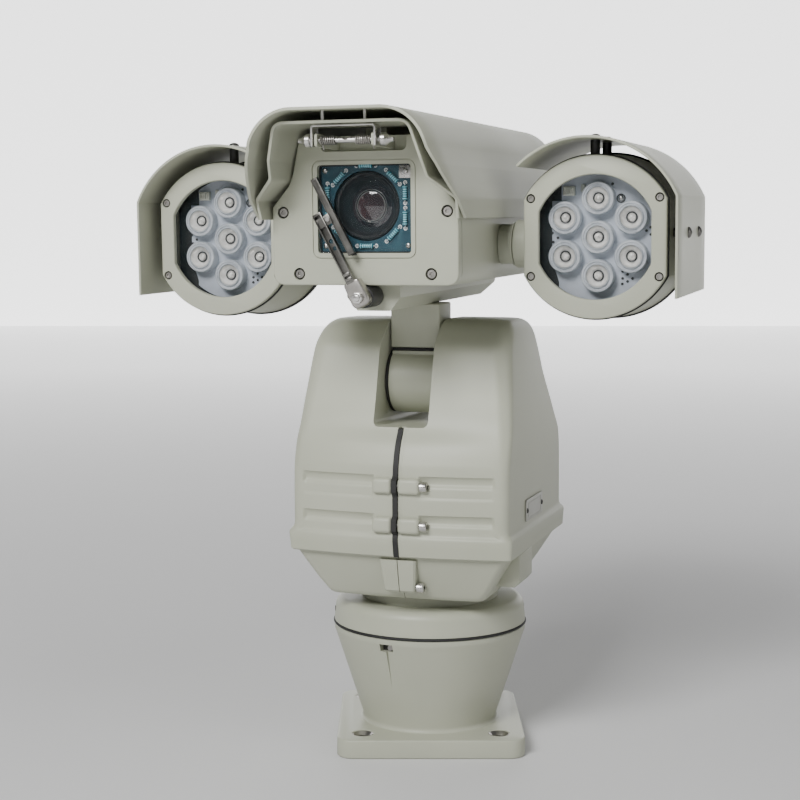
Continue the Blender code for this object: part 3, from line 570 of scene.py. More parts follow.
seat = [(0, -5), (4.6, -5), (4.6, PLATE_T - 5), (9.0, PLATE_T - 5), (9.0, 15.3), (10.2, 16.5), (0, 16.5)]
for x, y in corners:
    base = cut(base, turned(seat, at=(x, y, 0), steps=40))
shade_plugs, pins = [], []
for i in range(2):
    spin = Matrix.Rotation(math.radians(242.6 + 180 * i), 4, "Z")
    pocket = block((70, 92), (-6.0, 6.0), (90.2, 96.8))
    groove = slab([(79.4, 90.3), (92, 90.3), (92, 56), (70.8, 56)], (-0.6, 5.8))
    # A near-black block at the pocket's inner end: painted shade in the hole
    plug = block((75.0, 76.0), (-7.0, 7.0), (89.0, 98.0))
    pin = rod("X", (0, 2.2, 93.4), 2.3, (75.5, 80.0), 24)
    for shaped in (pocket, groove, plug, pin):
        shaped.data.transform(spin)
    base = cut(base, pocket, groove)
    shade_plugs.append(plug)
    pins.append(pin)
piece("base_plugs", fused(shade_plugs), "base", dark_and_painted_shade)
bush = [(5.0, 11.05), (8.95, 11.05), (8.95, 15.4), (8.4, 15.7), (7.9, 15.5), (5.0, 12.6)]
bushes = [turned(bush, at=(x, y, 0), steps=48) for x, y in corners]
piece("base_bushes", fused(bushes + pins), "base", brushed)
piece("base_shell", base, "base", paint, "base_casting")
edge = [(78, RIM_Z + 0.3), (RIM_R + 0.4, RIM_Z + 0.3), (RIM_R + 0.9, RIM_Z + 0.9), (RIM_R + 0.9, 103.2)]
gasket = turned(edge + [(RIM_R + 0.4, 103.8), (78, 103.8)], steps=128)
piece("base_gasket", gasket, "base", rubber, "pan_gasket")
gland = [(4, 24), (8.0, 24), (9.2, 22.5), (9.6, 12), (9.6, 10.4), (8, -14), (4, -14)]
gland = turned(gland, "Y", (0, 80.3, 61), 48)
nut = rod("Y", (0, 0, 61), 13.0, (80.3, 90.3), sides=6)
gland = join(gland, cut(soften(nut, 0.8, 2, 50), rod("Y", (0, 0, 61), 5, (70, 100))))
piece("base_gland", gland, "base", black, "cable_gland", slot="black_rubber")
report("base")

# %% [markdown]
# ## Pan ring
# The turning collar on the base's rim, with a domed shoulder and a smaller neck above it.

# %%
shoulder = [(84.3, 104.2), (84.2, 106.5), (83.6, 112), (83.0, 117.5)] + arc((75.0, 117.2), 8.0, 10, 88, 9)
collar = turned([(16.8, 135.9), (60, 135.9), (60, 125.4)] + list(reversed(shoulder)) +
                [(76, 104.2), (76, 118), (30, 118), (30, 110), (16.8, 110)], steps=128)
piece("pan_collar", collar, "pan_body", paint, "pan_ring")
spots = [((83.1 * c, 83.1 * s, 113.0), (c, s, 0)) for c, s in arc((0, 0), 1.0, -158, 22, 2)]
copied("collar_screws", socket_screw(2.4, 0.9, 1.2), spots, "pan_body", gunmetal, 2)
report("collar")

# %% [markdown]
# ## Drive body
# Two cast halves meet on a rubber strip.  Each half is lofted from an outline that changes
# with height: a wide waist with a flange, ribbed faces front and back, and a notch for the
# drum of the tilt axis.

# %%
BODY_Z, BODY_TOP, FLANGE_Z = 136.2, 370.0, 175.5
NOTCH_X, NOTCH_Z = 23.7, 281.5
SEAM, SEAM_X, PROUD = 2.3, 1.4, 1.2
# height, half width, front, bow of the front, back, corner radius
FOOT_ROWS = [(BODY_Z, 66.5, 70, 4, 83, 7), (137.4, 68.4, 71.6, 4.4, 85, 7), (140, 70.4, 73, 4.8, 86.6, 7),
             (150, 77, 77.5, 6, 92, 6.5), (FLANGE_Z - 0.5, 92, 87, 8, 104, 6)]
FLANGE_ROWS = [(FLANGE_Z - 0.3, 95.6, 89.6, 9.4, 107.6, 4.5), (FLANGE_Z + 0.7, 96.6, 90.6, 9.6, 108.6, 4.5),
               (190, 97.4, 92.8, 10.4, 110, 5), (192, 97.0, 92.6, 10.4, 109.8, 5.5),
               (195, 94.8, 91.8, 10.4, 108.0, 8), (197, 94.2, 91.6, 10.4, 107.6, 9.5)]
UPPER_ROWS = [(200, 94, 91.5, 10.5, 107.5, 10), (222, 94, 92, 11, 107, 10), (246, 94, 91.5, 10.5, 106, 10),
              (256, 94, 90, 10, 105, 10.5), (268, 94, 86.5, 9, 101, 11), (283, 93, 81.5, 4.5, 90, 12),
              (300, 91.6, 77.5, 2.5, 77.5, 13), (320, 89.6, 72.5, 2, 63, 14), (335, 88.2, 68.8, 1.8, 56, 15),
              (348, 86.8, 64.5, 1.5, 50, 16), (358, 85.2, 54.5, 1, 44, 16), (365, 82, 44.5, 0.8, 38, 15),
              (368.8, 77, 35, 0.5, 30, 13), (BODY_TOP, 70.5, 25.5, 0, 19.5, 11)]


def spline(rows, per_span):
    """Catmull-Rom through the rows, so that the upper body swells without flats."""
    out = []
    for i in range(len(rows) - 1):
        a, b = rows[max(i - 1, 0)], rows[i]
        c, d = rows[i + 1], rows[min(i + 2, len(rows) - 1)]
        for k in range(per_span):
            t = k / per_span
            out.append(tuple(0.5 * (2 * q + (r - p) * t + (2 * p - 5 * q + 4 * r - s) * t * t
                                    + (3 * q - p - 3 * r + s) * t ** 3) for p, q, r, s in zip(a, b, c, d)))
    return out + [rows[-1]]


BODY_ROWS = FOOT_ROWS + FLANGE_ROWS + spline(UPPER_ROWS, 5)
RIB_STEPS = (243.6, 211.6)
# One rib from its step downwards: distance down, how far the face is sunk
RIB = [(0, 0), (0.6, 0.7), (2.0, 1.9), (4.0, 2.8), (5.6, 3.2), (6.8, 3.2), (7.8, 2.7), (8.8, 1.9), (9.8, 1.3),
       (11, 1.05), (14, 0.95), (17.0, 0.95), (17.8, 0.8), (18.8, 0.35), (19.6, 0.1), (20.4, 0)]


def rib_sink(z):
    """How far the ribbed faces are sunk at a height: a deep step, a roll and a shallow step."""
    for step in RIB_STEPS:
        below = step - z
        for (a, low), (b, high) in zip(RIB, RIB[1:]):
            if a <= below <= b:
                return low + (high - low) * (below - a) / (b - a)
    return 0.0


def row_at(z):
    for low, high in zip(BODY_ROWS, BODY_ROWS[1:]):
        if z <= high[0]:
            t = (z - low[0]) / max(high[0] - low[0], 1e-6)
            return [a + (b - a) * t for a, b in zip(low, high)]
    return list(BODY_ROWS[-1])


def body_outline(z, side):
    _, width, front, bow, back, corner = row_at(z)
    sink = rib_sink(z)
    seam = (SEAM if z > FLANGE_Z - 0.4 else 0.3) + side * SEAM_X
    inner = width - corner
    rib_start = 21.0 if side > 0 else 17.4
    stops = [seam, seam + 2.9, seam + 3.2, 10.0, 14.0, rib_start, rib_start + 1.6]
    stops += [rib_start + 1.6 + (inner - rib_start - 6.0) * k / 7 for k in range(1, 8)]
    stops += [inner - 3.2, inner - 2.2, inner - 1.2, inner - 0.5]

    def depth(x):
        bulge = bow * (1 - (x / width) ** 2)
        lip = -0.55 if x < seam + 3.0 and side > 0 and 197 < z < 285 else 0.0
        fade = max(0.0, min(1.0, (x - rib_start) / 1.6)) * max(0.0, min(1.0, (inner - 0.5 - x) / 3.0))
        return bulge - sink * fade + lip

    lean = math.atan(2 * bow * inner / width ** 2)
    turn_x = inner + corner * math.sin(lean)
    drop = bow * (1 - (turn_x / width) ** 2) - corner * math.cos(lean)
    lean = math.degrees(lean)
    near = [(x, -front - depth(x)) for x in stops] + arc((inner, -front - drop), corner, lean - 90, 0, 9)
    far = arc((inner, back + drop), corner, 0, 90 - lean, 9) + [(x, back + depth(x)) for x in reversed(stops)]
    return [(side * x, y, z) for x, y in near + far]


def body_heights():
    heights = [row[0] for row in BODY_ROWS] + [FLANGE_Z - 0.39, 184, 197.2, 284.9, 285.2]
    for step in RIB_STEPS:
        heights += [step - down for down, _ in RIB]
    return sorted(set(round(h, 2) for h in heights))


# The seam's screws: y, z and the x of the head's underside
SCREW_AT = [(-103.2, 235.0, 23.0), (-103.2, 202.5, 23.0), (-87.8, 148.5, 16.1)]


def lower_lug(side, flip, extra):
    """The tapering lug under the flange, at the front (flip 1) or the back (flip -1)."""
    low_end = 17.0 if side > 0 else 14.5
    start = side * 0.35 + SEAM_X
    rings = []
    for z, narrower, front in ((172.5, 0, 98.3), (158, 1.2, 94.8), (146, 2.4, 91.6), (144, 3.4, 89.5)):
        x = low_end - narrower
        near, back = -flip * (front + extra), -flip * (front + extra - 15)
        rings.append([(start, near, z), (side * (x - 1.6), near, z), (side * x, near + flip * 1.6, z),
                      (side * x, back, z), (start, back, z)])
    return loft(rings)


def body_half(word, side):
    half = loft([body_outline(z, side) for z in body_heights()])
    notch = slab(rounded((-NOTCH_X, NOTCH_X), (NOTCH_Z, 460), 5.0, 8), (-160, 160))
    half = cut(half, notch, block((-40, 40), (-60, 60), (BODY_Z - 5, BODY_Z + 9)))
    half = cut(half, rod("X", TILT_PIVOT, 12.6, (-45, 45)))
    reach = (side * (SEAM + 0.1) + SEAM_X, side * (22.8 if side > 0 else 18.0))
    lugs = [soften(block(reach, (-107.3, -92), (z - 6.6, z + 6.6)), 3.4, 5) for _, z, _ in SCREW_AT[:2]]
    lugs += [lower_lug(side, 1, 0), lower_lug(side, -1, 12.61)]
    if side > 0:
        lugs.append(block((SEAM_X - SEAM, 12), (-78, 80), (NOTCH_Z - 8, NOTCH_Z - 0.02)))
    half = join(half, *lugs)
    for y, z, x in SCREW_AT:
        half = cut(half, rod("X", (0, y, z), 2.5, (-15, 32), 24))
        if side > 0:
            half = cut(half, rod("X", (0, y, z), 4.6, (x, x + 7.4), 32))
    piece("drive_" + word, half, "pan_body", paint, "body_" + word, angle=28)


body_half("left", -1)
body_half("right", 1)
report("drive body")

# %%
def strip_front(z):
    """The strip's outer edge, which rises over the lugs."""
    edge = -sum(row_at(z)[2:4]) - PROUD
    for _, lug, _ in SCREW_AT[:2]:
        t = max(0.0, min(1.0, (8.0 - abs(z - lug)) / 3.0))
        edge = min(edge, edge * (1 - t) - 107.9 * t)
    return edge


strip_z = [FLANGE_Z - 0.2 + (NOTCH_Z - 1.0 - FLANGE_Z) * i / 60 for i in range(61)]
front_edge = [(strip_front(z), z) for z in strip_z]
back_edge = [(sum(row_at(z)[3:5]) + 0.7, z) for z in reversed(strip_z)]
inside = [(y - 7, z) for y, z in reversed(back_edge[2:])] + [(y + 7, z) for y, z in reversed(front_edge[:-2])]
strip = slab(front_edge + back_edge + inside, (SEAM_X - SEAM + 0.2, SEAM_X + SEAM - 0.2), "YZ")
strip = cut(strip, *[rod("X", (0, y, z), 2.5, (-5, 5), 16) for y, z, _ in SCREW_AT[:2]])
piece("seam_strip", strip, "pan_body", rubber, "seam_gasket")
spots = [((x + 0.2, y, z), (1, 0, 0)) for y, z, x in SCREW_AT]
heads = scattered(socket_screw(4.3, 5.6, 2.2), spots, steel, 3)
shanks = [rod("X", (0, y, z), 2.2, (-10, x + 0.6), 20) for y, z, x in SCREW_AT]
screw_nodes = ["seam_screw_%d" % number for number in (1, 2, 3)]
piece("seam_screws", fused([heads] + shanks), "pan_body", steel, *screw_nodes)

tag = filleted([(-34, 199), (26, 199), (26, 217.5), (-34, 217.5)], 2.0)
tag = soften(slab(tag, (94.3, 95.4), "YZ"), 0.35, 2)
frame_cut = slab(rounded((-27, 19), (201.3, 215.2), 2.0), (95.15, 97), "YZ")
frame_keep = slab(rounded((-26, 18), (202.3, 214.2), 1.6), (94, 98), "YZ")
tag = cut(tag, cut(frame_cut, frame_keep))
piece("blank_tag", tag, "pan_body", label, "name_plate")
spots = [((95.4, y, 208.2), (1, 0, 0)) for y in (-30.6, 22.6)]
copied("tag_screws", dome_screw(2.3, 1.1), spots, "pan_body", dark_and_painted_shade, 4, slot="black_rubber")
side_box = filleted([(84, 175.0), (95.4, 175.0), (95.4, 152), (91.5, 147.2), (68, 147.2)], 2.0)
side_box = slab(side_box, (-58, -12))
piece("connector_cover", soften(side_box, 1.6, 3), "pan_body", paint, "connector_box")
seal = [(12.6, 0.3), (27.3, 0.3), (27.7, 0.8), (27.7, 2.2), (27.3, 2.6), (12.6, 2.6)]
for word, side in (("left", -1), ("right", 1)):
    ring = turned(seal, "X", (side * 20.7, TILT_PIVOT.y, TILT_PIVOT.z), flip=side < 0)
    piece("seal_" + word, ring, "pan_body", rubber, "drum_seal_" + word)
report("body details")


# %% [markdown]
# ## Tilt drum and neck
# A drum between the two halves carries a post, and the post a wedge-shaped rail under the
# housing.

# %%
NECK_X, NECK_Y, NECK_Z = 21.8, (-42.7, -8.1), 345.7
RAIL_Z, HOUSE_Z = 383.5, 404.3
FRONT_Y, BACK_Y = -171.0, 171.0
drum = [(0, -20.7), (27.4, -20.7), (28, -20.1), (28, 20.1), (27.4, 20.7), (0, 20.7)]
drum = turned(drum, "X", TILT_PIVOT, 128)
drum = join(drum, block((-20.3, 20.3), (-42.9, -7.9), (317, 343)), rod("X", TILT_PIVOT, 12, (-42, 58)))
drum = cut(drum, block((-30, 30), (-60, 10), (343.4, 370)))
piece("tilt_barrel", drum, "head", paint, "tilt_drum")
pad_strip = soften(block((-20.5, 20.5), (-43.2, -7.6), (343.6, NECK_Z - 0.2)), 0.4, 2)
piece("neck_strip", pad_strip, "head", rubber, "neck_gasket")
post = soften(block((-NECK_X, NECK_X), NECK_Y, (NECK_Z, RAIL_Z - 0.3)), 1.6, 4)
piece("neck_column", post, "head", paint, "neck_post")
rail = slab(filleted([(13.6, RAIL_Z), (22, 394), (22, HOUSE_Z - 0.3), (-22, HOUSE_Z - 0.3), (-22, 394),
                      (-13.6, RAIL_Z)], 1.6), (-150, 142))
rail = cut(rail, slab([(110, 378), (150, 378), (150, 402), (142, 396)], (-40, 40), "YZ"))
piece("housing_rail", rail, "head", paint, "head_bracket")
report("neck")

# %% [markdown]
# ## Housing
# A folded tray and a bell-shaped cover, closed by a thick plate at each end.  The front plate
# has a framed window, four sunk screws and a pocket for the hinge of the cover.

# %%
HOUSE_W = 75.0
outline = [(HOUSE_W, HOUSE_Z, 10), (HOUSE_W, 464.5, 5), (61.0, 481.2, 7), (57.6, 491.0, 6), (52.0, 518.0, 10)]
outline = filleted(outline + [(-x, z, r) for x, z, r in reversed(outline)], 5.0, 8)
WIN_X, WIN_Z = 37.7, (429.0, 496.3)
PLATE_SCREWS = [(-66.3, 460.4), (66.3, 460.4), (-53.5, 413.0), (53.5, 413.0)]
HINGE = Vector((0, -209.0, 513.0))

front = soften(slab(outline, (FRONT_Y, FRONT_Y + 10)), 1.1, 3, 60)
groove = cut(slab(rounded((-41.9, 41.9), (424.7, 499.9), 6.5), (-180, FRONT_Y + 1.0)),
             slab(rounded((-41.1, 41.1), (425.5, 499.1), 5.8), (-190, -150)))
window_hole = slab(rounded((-WIN_X, WIN_X), WIN_Z, 2.2), (-180, -150))
seat = slab(rounded((-41, 41), (425.5, 499.3), 3.0), (FRONT_Y + 4.5, -150))
pocket = soften(block((-34.7, 34.7), (-185, FRONT_Y + 7.2), (506.3, 540)), 4.5, 6, 80)
front = cut(front, groove)
front = cut(front, window_hole)
front = cut(front, seat, pocket)
front = cut(front, *[rod("Y", (x, 0, z), 4.7, (-180, FRONT_Y + 3.4)) for x, z in PLATE_SCREWS])
ear = [(FRONT_Y + 8.5, 507.5), (FRONT_Y + 8.5, 513), (HINGE.y + 5, 518), (HINGE.y - 4.5, 518)]
ear = filleted(ear + [(HINGE.y - 4.5, 508.5)], 2.5)
for x in (-22.2, 22.2):
    front = join(front, slab(ear, (x - 1.0, x + 1.0), "YZ"))
piece("front_panel", front, "head", paint, "front_plate")
spots = [((x, FRONT_Y + 3.3, z), (0, -1, 0)) for x, z in PLATE_SCREWS]
copied("front_screws", socket_screw(3.5, 2.4, 2.0), spots, "head", brushed, 11)
# A near-black ring on each counterbore's floor round the head: painted contact shadow
shade_ring = [(3.5, 3.1), (4.65, 3.1), (4.65, 3.39), (3.5, 3.39)]
shade_rings = [turned(shade_ring, "Y", (x, FRONT_Y, z), 40) for x, z in PLATE_SCREWS]
piece("front_wells", fused(shade_rings), "head", dark_and_painted_shade)

back = soften(slab(outline, (BACK_Y - 6, BACK_Y)), 1.1, 3, 60)
back = cut(back, *[rod("Y", (x, 0, 428), 8.2, (150, 180)) for x in (-30, 0, 30)])
piece("back_panel", back, "head", paint, "rear_plate")
stem = [(0, -6), (8, -6), (8, 0.2), (10.4, 0.2), (10.4, 4.5), (8.4, 5.2), (8.2, 10.5), (6.4, 12.2)]
stem += [(3.4, 12.2), (3.4, 9.5), (0, 9.5)]
glands = [turned(stem, "Y", (x, BACK_Y, 428), 40) for x in (-30, 0, 30)]
piece("back_glands", fused(glands), "head", black, slot="black_rubber")
spots = [((x, BACK_Y + 0.1, z), (0, 1, 0)) for x, z in PLATE_SCREWS]
copied("back_screws", socket_screw(3.7, 2.2, 1.7), spots, "head", steel, 12)

inside_y = (FRONT_Y + 10.3, BACK_Y - 6.3)
foot = arc((HOUSE_W - 10, HOUSE_Z + 10), 10.0, -90, 0, 9) + [(HOUSE_W, 457.0)]
tray = sheet([(-x, z) for x, z in reversed(foot)] + foot, inside_y, 3.0, 8)
piece("lower_tray", tray, "head", paint, "housing_tray")
bell = filleted([(75.0, 457.6), (75.0, 464.5), (61.0, 481.2), (57.6, 491.0), (52.0, 518.0), (0, 518.0)], 6, 7)
bell = [(75.0, 457.6)] + bell[7:]
upper = sheet(mirrored(bell), inside_y, 2.4, 8)
upper = join(upper, soften(block((-9, 9), (-140, 140), (516.0, 532.8)), 1.0, 2))
piece("upper_bell", upper, "cover", paint, "top_cover")
report("housing")

# %% [markdown]
# ## Window, heater and lens
# Behind the pane sits a heater board with banded resistors set round the lens in an octagon.

# %%
pane_shape = soften(slab(rounded((-WIN_X + 0.3, WIN_X - 0.3), (WIN_Z[0] + 0.3, WIN_Z[1] - 0.3), 2.0),
                         (FRONT_Y + 1.2, FRONT_Y + 3.4)), 0.3, 2)
piece("window_pane", pane_shape, "head", glass, "window_glass")
bead = cut(slab(rounded((-40.7, 40.7), (425.8, 499.0), 3.0), (FRONT_Y + 4.8, FRONT_Y + 6.2)),
           slab(rounded((-36.6, 36.6), (430.1, 495.2), 2.0), (-190, -150)))
piece("window_bead", bead, "head", rubber, "window_gasket")

LENS = Vector((0, 0, 464.9))
BOARD_Y = FRONT_Y + 6.6
panel = cut(soften(slab(rounded((-40, 40), (426.5, 498.6), 2.0), (BOARD_Y, BOARD_Y + 1.6)), 0.2, 1),
            rod("Y", LENS, 26.9, (-190, -140), 96))
piece("heater_panel", panel, "head", board, "heater_board")


def resistor_shape():
    """A banded resistor lying along X, its axis at Z = 0."""
    half = [(0, 5.6), (1.0, 5.6), (1.85, 5.0), (1.85, 3.6), (1.45, 3.1)]
    return turned([(r, -x) for r, x in half] + half[::-1], "X", steps=20)


def band_shape():
    """The light bands of one resistor: start, end and radius of each."""
    bands = [(-4.7, -4.1, 1.95), (-3.0, -2.1, 1.62), (-1.3, -0.4, 1.62), (0.4, 1.3, 1.62), (2.1, 3.0, 1.62),
             (4.1, 4.7, 1.95)]
    return fused([turned([(1.3, a), (r, a), (r, b), (1.3, b)], "X", steps=20) for a, b, r in bands])


def pad_shape():
    """An open solder ring in the XZ plane."""
    turns = [math.radians(a) for a in range(-130, 131, 20)]
    return tube([(1.25 * math.cos(t), 0, 1.25 * math.sin(t)) for t in turns], 0.42)


sides = [(30.6, a, 0.0) for a in (45, 90, 135, 225, 270, 315)]
sides += [(31.4, a, shift) for a in (0, 180) for shift in (-9.6, 9.6)]
bodies, bands, pads, wires = [], [], [], []
for r, angle, shift in sides:
    turn = math.radians(angle)
    out = Vector((math.cos(turn), 0, math.sin(turn)))
    along = Vector((-math.sin(turn), 0, math.cos(turn)))
    middle = LENS + out * r + along * shift + Vector((0, BOARD_Y - 1.3, 0))
    lying = Matrix.Rotation(-turn - math.pi / 2, 4, "Y")
    for shaped, kept in ((resistor_shape(), bodies), (band_shape(), bands)):
        shaped.data.transform(Matrix.Translation(middle) @ lying)
        kept.append(shaped)
    for end in (-1, 1):
        ring = pad_shape()
        flip = Matrix.Rotation(0 if end > 0 else math.pi, 4, "Y")
        centre = middle + along * end * 7.7 + Vector((0, 0.9, 0))
        ring.data.transform(Matrix.Translation(centre) @ lying @ flip)
        pads.append(ring)
        wires.append(tube([middle + along * end * 5.4, middle + along * end * 7.4,
                           middle + along * end * 7.9 + Vector((0, 1.4, 0))], 0.32))
piece("heater_resistors", fused(bodies), "head", resistor)
piece("heater_bands", fused(bands), "head", band)
piece("heater_pads", fused(pads + wires), "head", tin)
tab = soften(block((26.5, 37.0), (BOARD_Y - 1.2, BOARD_Y - 0.05), (485.5, 496)), 0.4, 2)
piece("heater_tab", tab, "head", steel)
spots = [((31.8, BOARD_Y - 1.2, 491.0), (0, -1, 0))]
spots += [((x, BOARD_Y, z), (0, -1, 0)) for x, z in ((-33.5, 434.5), (33.5, 434.5), (-33.5, 492.0))]
copied("heater_screws", dome_screw(2.3, 1.3), spots, "head", steel, 5)

barrel = [(26.2, -161.0), (26.2, -120), (14, -120), (12.4, -147.5), (16.0, -150.0), (22.0, -158.5)]
barrel = turned(barrel + [(23.2, -162.2), (24.6, -163.3), (25.8, -162.6)], "Y", LENS)
ribs = [turned([(26.2, y), (26.8, y + 0.3), (26.8, y + 1.0), (26.2, y + 1.3)], "Y", LENS, 96)
        for y in (-160.2, -157.8, -155.4)]
block_shape = soften(block((-29, 29), (-118, -20), (434, 492)), 2.0)
block_shape = join(block_shape, block((-20, 20), (-100, -40), (409.8, 436)))
piece("camera_body", block_shape, "head", black, "camera_block")
piece("lens_tube", fused([barrel] + ribs), "head", black, "lens_barrel")


def lens_dome(radius, rise, y, thickness):
    """A shallow dome that faces the front."""
    rows = [(radius * k / 8, y - rise * (1 - (k / 8) ** 2)) for k in range(9)]
    return turned(rows + [(radius, y + thickness), (0, y + thickness)], "Y", LENS, 72)


piece("lens_front", lens_dome(22.6, 3.0, -157.5, 0.6), "head", glass)
piece("lens_middle", lens_dome(16.4, 1.6, -150.6, 1.0), "head", lens_coat)
piece("lens_inner", lens_dome(10.8, 1.4, -152.9, 1.2), "head", lens_deep)
halo = [turned([(r, -153.3), (r + w, -153.3), (r + w, -152.0), (r, -152.0)], "Y", LENS, 72)
        for r, w in ((11.0, 0.45), (12.6, 0.25))]
piece("lens_rings", fused(halo), "head", brushed, slot="black_metal")
report("window and lens")

# %% [markdown]
# ## Visor and sun shield
# Two bent sheets stand off the cover.  Both fronts are cut back in side view.

# %%
def trim(obj, edge):
    """Cuts away what lies in front of an edge drawn in side view."""
    (top_y, top_z), end_y = edge[0], edge[-1][0]
    waste = [(-270, top_z + 30), (top_y, top_z + 30)] + list(edge) + [(end_y, 420), (-270, 420)]
    return cut(obj, slab(waste, (-130, 130), "YZ"))


half = [(79.5, 455), (80.6, 470, 5), (62.6, 485.5, 5), (60.3, 499, 12), (52.6, 527, 11), (0.5, 527)]
visor = sheet(mirrored(softened_path(half, 6)), (-226, FRONT_Y + 24), 2.0, 4)
visor = trim(visor, [(-223.5, 540), (-222.6, 524), (-216, 499), (-207, 485), (-192, 469.5), (-185, 452)])
piece("inner_visor", soften(visor, 0.35, 2, 50), "cover", paint, "visor", angle=30)
half = softened_path([(83.8, 455), (83.1, 470, 12), (79.2, 481), (75.0, 494), (69.95, 506.3)], 10)[:-1]
half += arc((34.0, 500.0), 36.4, 10, 90, 22) + [(0.5, 536.4)]
shield = sheet(mirrored(half), (-238, 180), 2.2, 10)
shield_edge = [(-234.5, 545), (-234.5, 511, 14), (-229, 500), (-219, 488), (-206, 476), (-191, 464)]
shield_edge.append((-172, 449))
shield = trim(shield, softened_path(shield_edge, 8, 5))
piece("outer_shield", soften(shield, 0.4, 2, 50), "cover", paint, "sun_shield", angle=30)
studs = [rod("Z", (x, -217.5, 0), 1.4, (526.4, 534.8), 16) for x in (-15, 18)]
piece("shield_studs", fused(studs), "cover", steel)
spots = [((x, y, 536.4), (0, 0, 1)) for x in (-26, 26) for y in (-120, 0, 120)]
copied("shield_screws", dome_screw(3.4, 1.8), spots, "cover", steel, 8)

# %%
u_path = softened_path([(25.4, 508.5), (25.4, 524.4, 3.0), (0.5, 524.4)], 3.0)
stirrup = sheet(mirrored(u_path), (HINGE.y - 7, HINGE.y + 6), 1.5)
stirrup = cut(soften(stirrup, 0.3, 2), rod("X", HINGE, 2.4, (-30, 30)))
piece("hinge_stirrup", stirrup, "cover", steel, "hinge_bracket")
pin_parts = [rod("X", HINGE, 2.0, (-35.0, 35.0), 24)]
profile = [(0, 27.5), (4.4, 27.5), (4.9, 28.2), (4.9, 31.0), (3.6, 32.6), (2.4, 34.6), (1.8, 37.2), (0, 37.6)]
for side in (-1, 1):
    pin_parts.append(turned([(r, side * x) for r, x in profile], "X", HINGE, 32))
piece("hinge_bolt", fused(pin_parts), "head", steel, "hinge_pin")


def coil(start, end, turns):
    points = []
    for i in range(turns * 18 + 1):
        turn = 2 * math.pi * i / 18
        x = start + (end - start) * i / (turns * 18)
        points.append((x, HINGE.y + 3.05 * math.cos(turn), HINGE.z + 3.05 * math.sin(turn)))
    return points


spring = []
for side in (-1, 1):
    leg = [(side * 19.8, HINGE.y + 6.5, HINGE.z - 6.5), (side * 19.8, HINGE.y + 3.4, HINGE.z - 1.5)]
    bridge = [(side * 6.6, HINGE.y + 2.0, HINGE.z + 2.6), (0, HINGE.y - 3.2, HINGE.z + 0.6)]
    spring.append(tube(leg + coil(side * 19.8, side * 8.0, 8) + bridge, 0.55))
piece("hinge_coils", fused(spring), "cover", brushed, "hinge_spring")
report("visor, shield and hinge")

# %% [markdown]
# ## Wiper
# A black motor boss on the rail, a cast head with a nut, a channel arm with two holes and a
# blade in its clip.  The arm is drawn upright and then leant over.

# %%
wz = WIPER_PIVOT.z
boss = soften(rod("Y", (0, 0, wz), 8.6, (-176, -150.3), 64), 1.0, 3, 50)
piece("wiper_boss", join(boss, rod("Y", (0, 0, wz), 2.9, (-187.6, -174), 24)), "head", black, "wiper_motor")
head_outline = [(-7.8, wz - 7.5, 6), (7.8, wz - 7.5, 6), (6.6, wz + 14.5, 3), (-6.6, wz + 14.5, 3)]
head_outline = filleted(head_outline, 5, 8)
arm = soften(slab(head_outline, (-186, -176.4)), 1.6, 3, 50)
channel = soften(block((-3.6, 3.6), (-186, -180.6), (wz + 12, wz + 72)), 0.5, 2)
arm = cut(arm, rod("Y", (0, 0, wz), 3.1, (-190, -170)))
channel = cut(channel, block((-2.5, 2.5), (-190, -182.2), (wz + 17, wz + 70)))
holes = [rod("Y", (0, 0, wz + up), r, (-190, -170), 24) for up, r in ((42.5, 1.7), (48.5, 1.9))]
channel = cut(channel, *holes)
tongue = soften(block((-3.2, 8.4), (-184.4, -183.2), (wz + 60, wz + 68)), 0.3, 2)
piece("wiper_head", arm, "wiper", brushed, "wiper_arm")
piece("wiper_lever", join(channel, tongue), "wiper", gunmetal)
nut = soften(rod("Y", (0, 0, wz), 4.6, (-190.2, -186.1), 6), 0.4, 2, 50)
nut = cut(nut, rod("Y", (0, 0, wz), 2.6, (-195, -180), 24))
tip = soften(rod("Y", (0, 0, wz), 2.5, (-191.4, -186), 24), 0.5, 2, 50)
rivet = rod("Y", (6.2, 0, wz + 64), 1.6, (-185.6, -183), 20)
piece("wiper_nut", fused([nut, tip, rivet]), "wiper", steel)
hooks = [soften(block((-3.0, 3.0), (-187.6, -186.1), (wz + h, wz + h + 2.6)), 0.5, 2) for h in (14.6, 18.6)]
clip = soften(block((7.0, 12.6), (-182.6, -178.4), (wz + 32, wz + 97)), 0.6, 3)
clip = cut(clip, block((8.0, 11.6), (-190, -182.0), (wz + 34, wz + 95)))
piece("wiper_clip", fused([clip] + hooks), "wiper", gunmetal)
squeegee = soften(block((8.2, 11.4), (-179.0, -175.4), (wz + 31.4, wz + 97.6)), 0.4, 2)
lip = [(9.0, -176), (10.6, -176), (10.1, FRONT_Y - 0.35), (9.5, FRONT_Y - 0.35)]
lip = slab(lip, (wz + 31.4, wz + 97.6), "XY")
piece("wiper_rubber", fused([squeegee, lip]), "wiper", rubber, "wiper_blade")
report("wiper")


# %% [markdown]
# ## Lamps
# Each lamp is a round can with flat sides.  A ring holds the pane; behind it seven reflectors
# stand on a board, one in the middle and six round it.  A bent hood shades the can from above
# and from its outer side.

# %%
LAMP_X, LAMP_Z, LAMP_Y = 160.2, 438.8, -79.6
LAMP_R, LAMP_FLAT, OPEN_R, OPEN_FLAT = 64.5, 57.0, 49.4, 45.0
ARM_Y, ARM_Z, ARM_R = -40.0, 433.0, 16.5
PITCH = 30.9


def flat_sided(x, radius, flat, count=40):
    """A circle cut flat above and below."""
    lean = math.degrees(math.acos(flat / radius))
    centre = (x, LAMP_Z)
    return arc(centre, radius, lean, 180 - lean, count) + arc(centre, radius, 180 + lean, 360 - lean, count)


def can(x, rows, count=40):
    return loft([[(px, y, pz) for px, pz in flat_sided(x, radius, flat, count)] for y, radius, flat in rows])


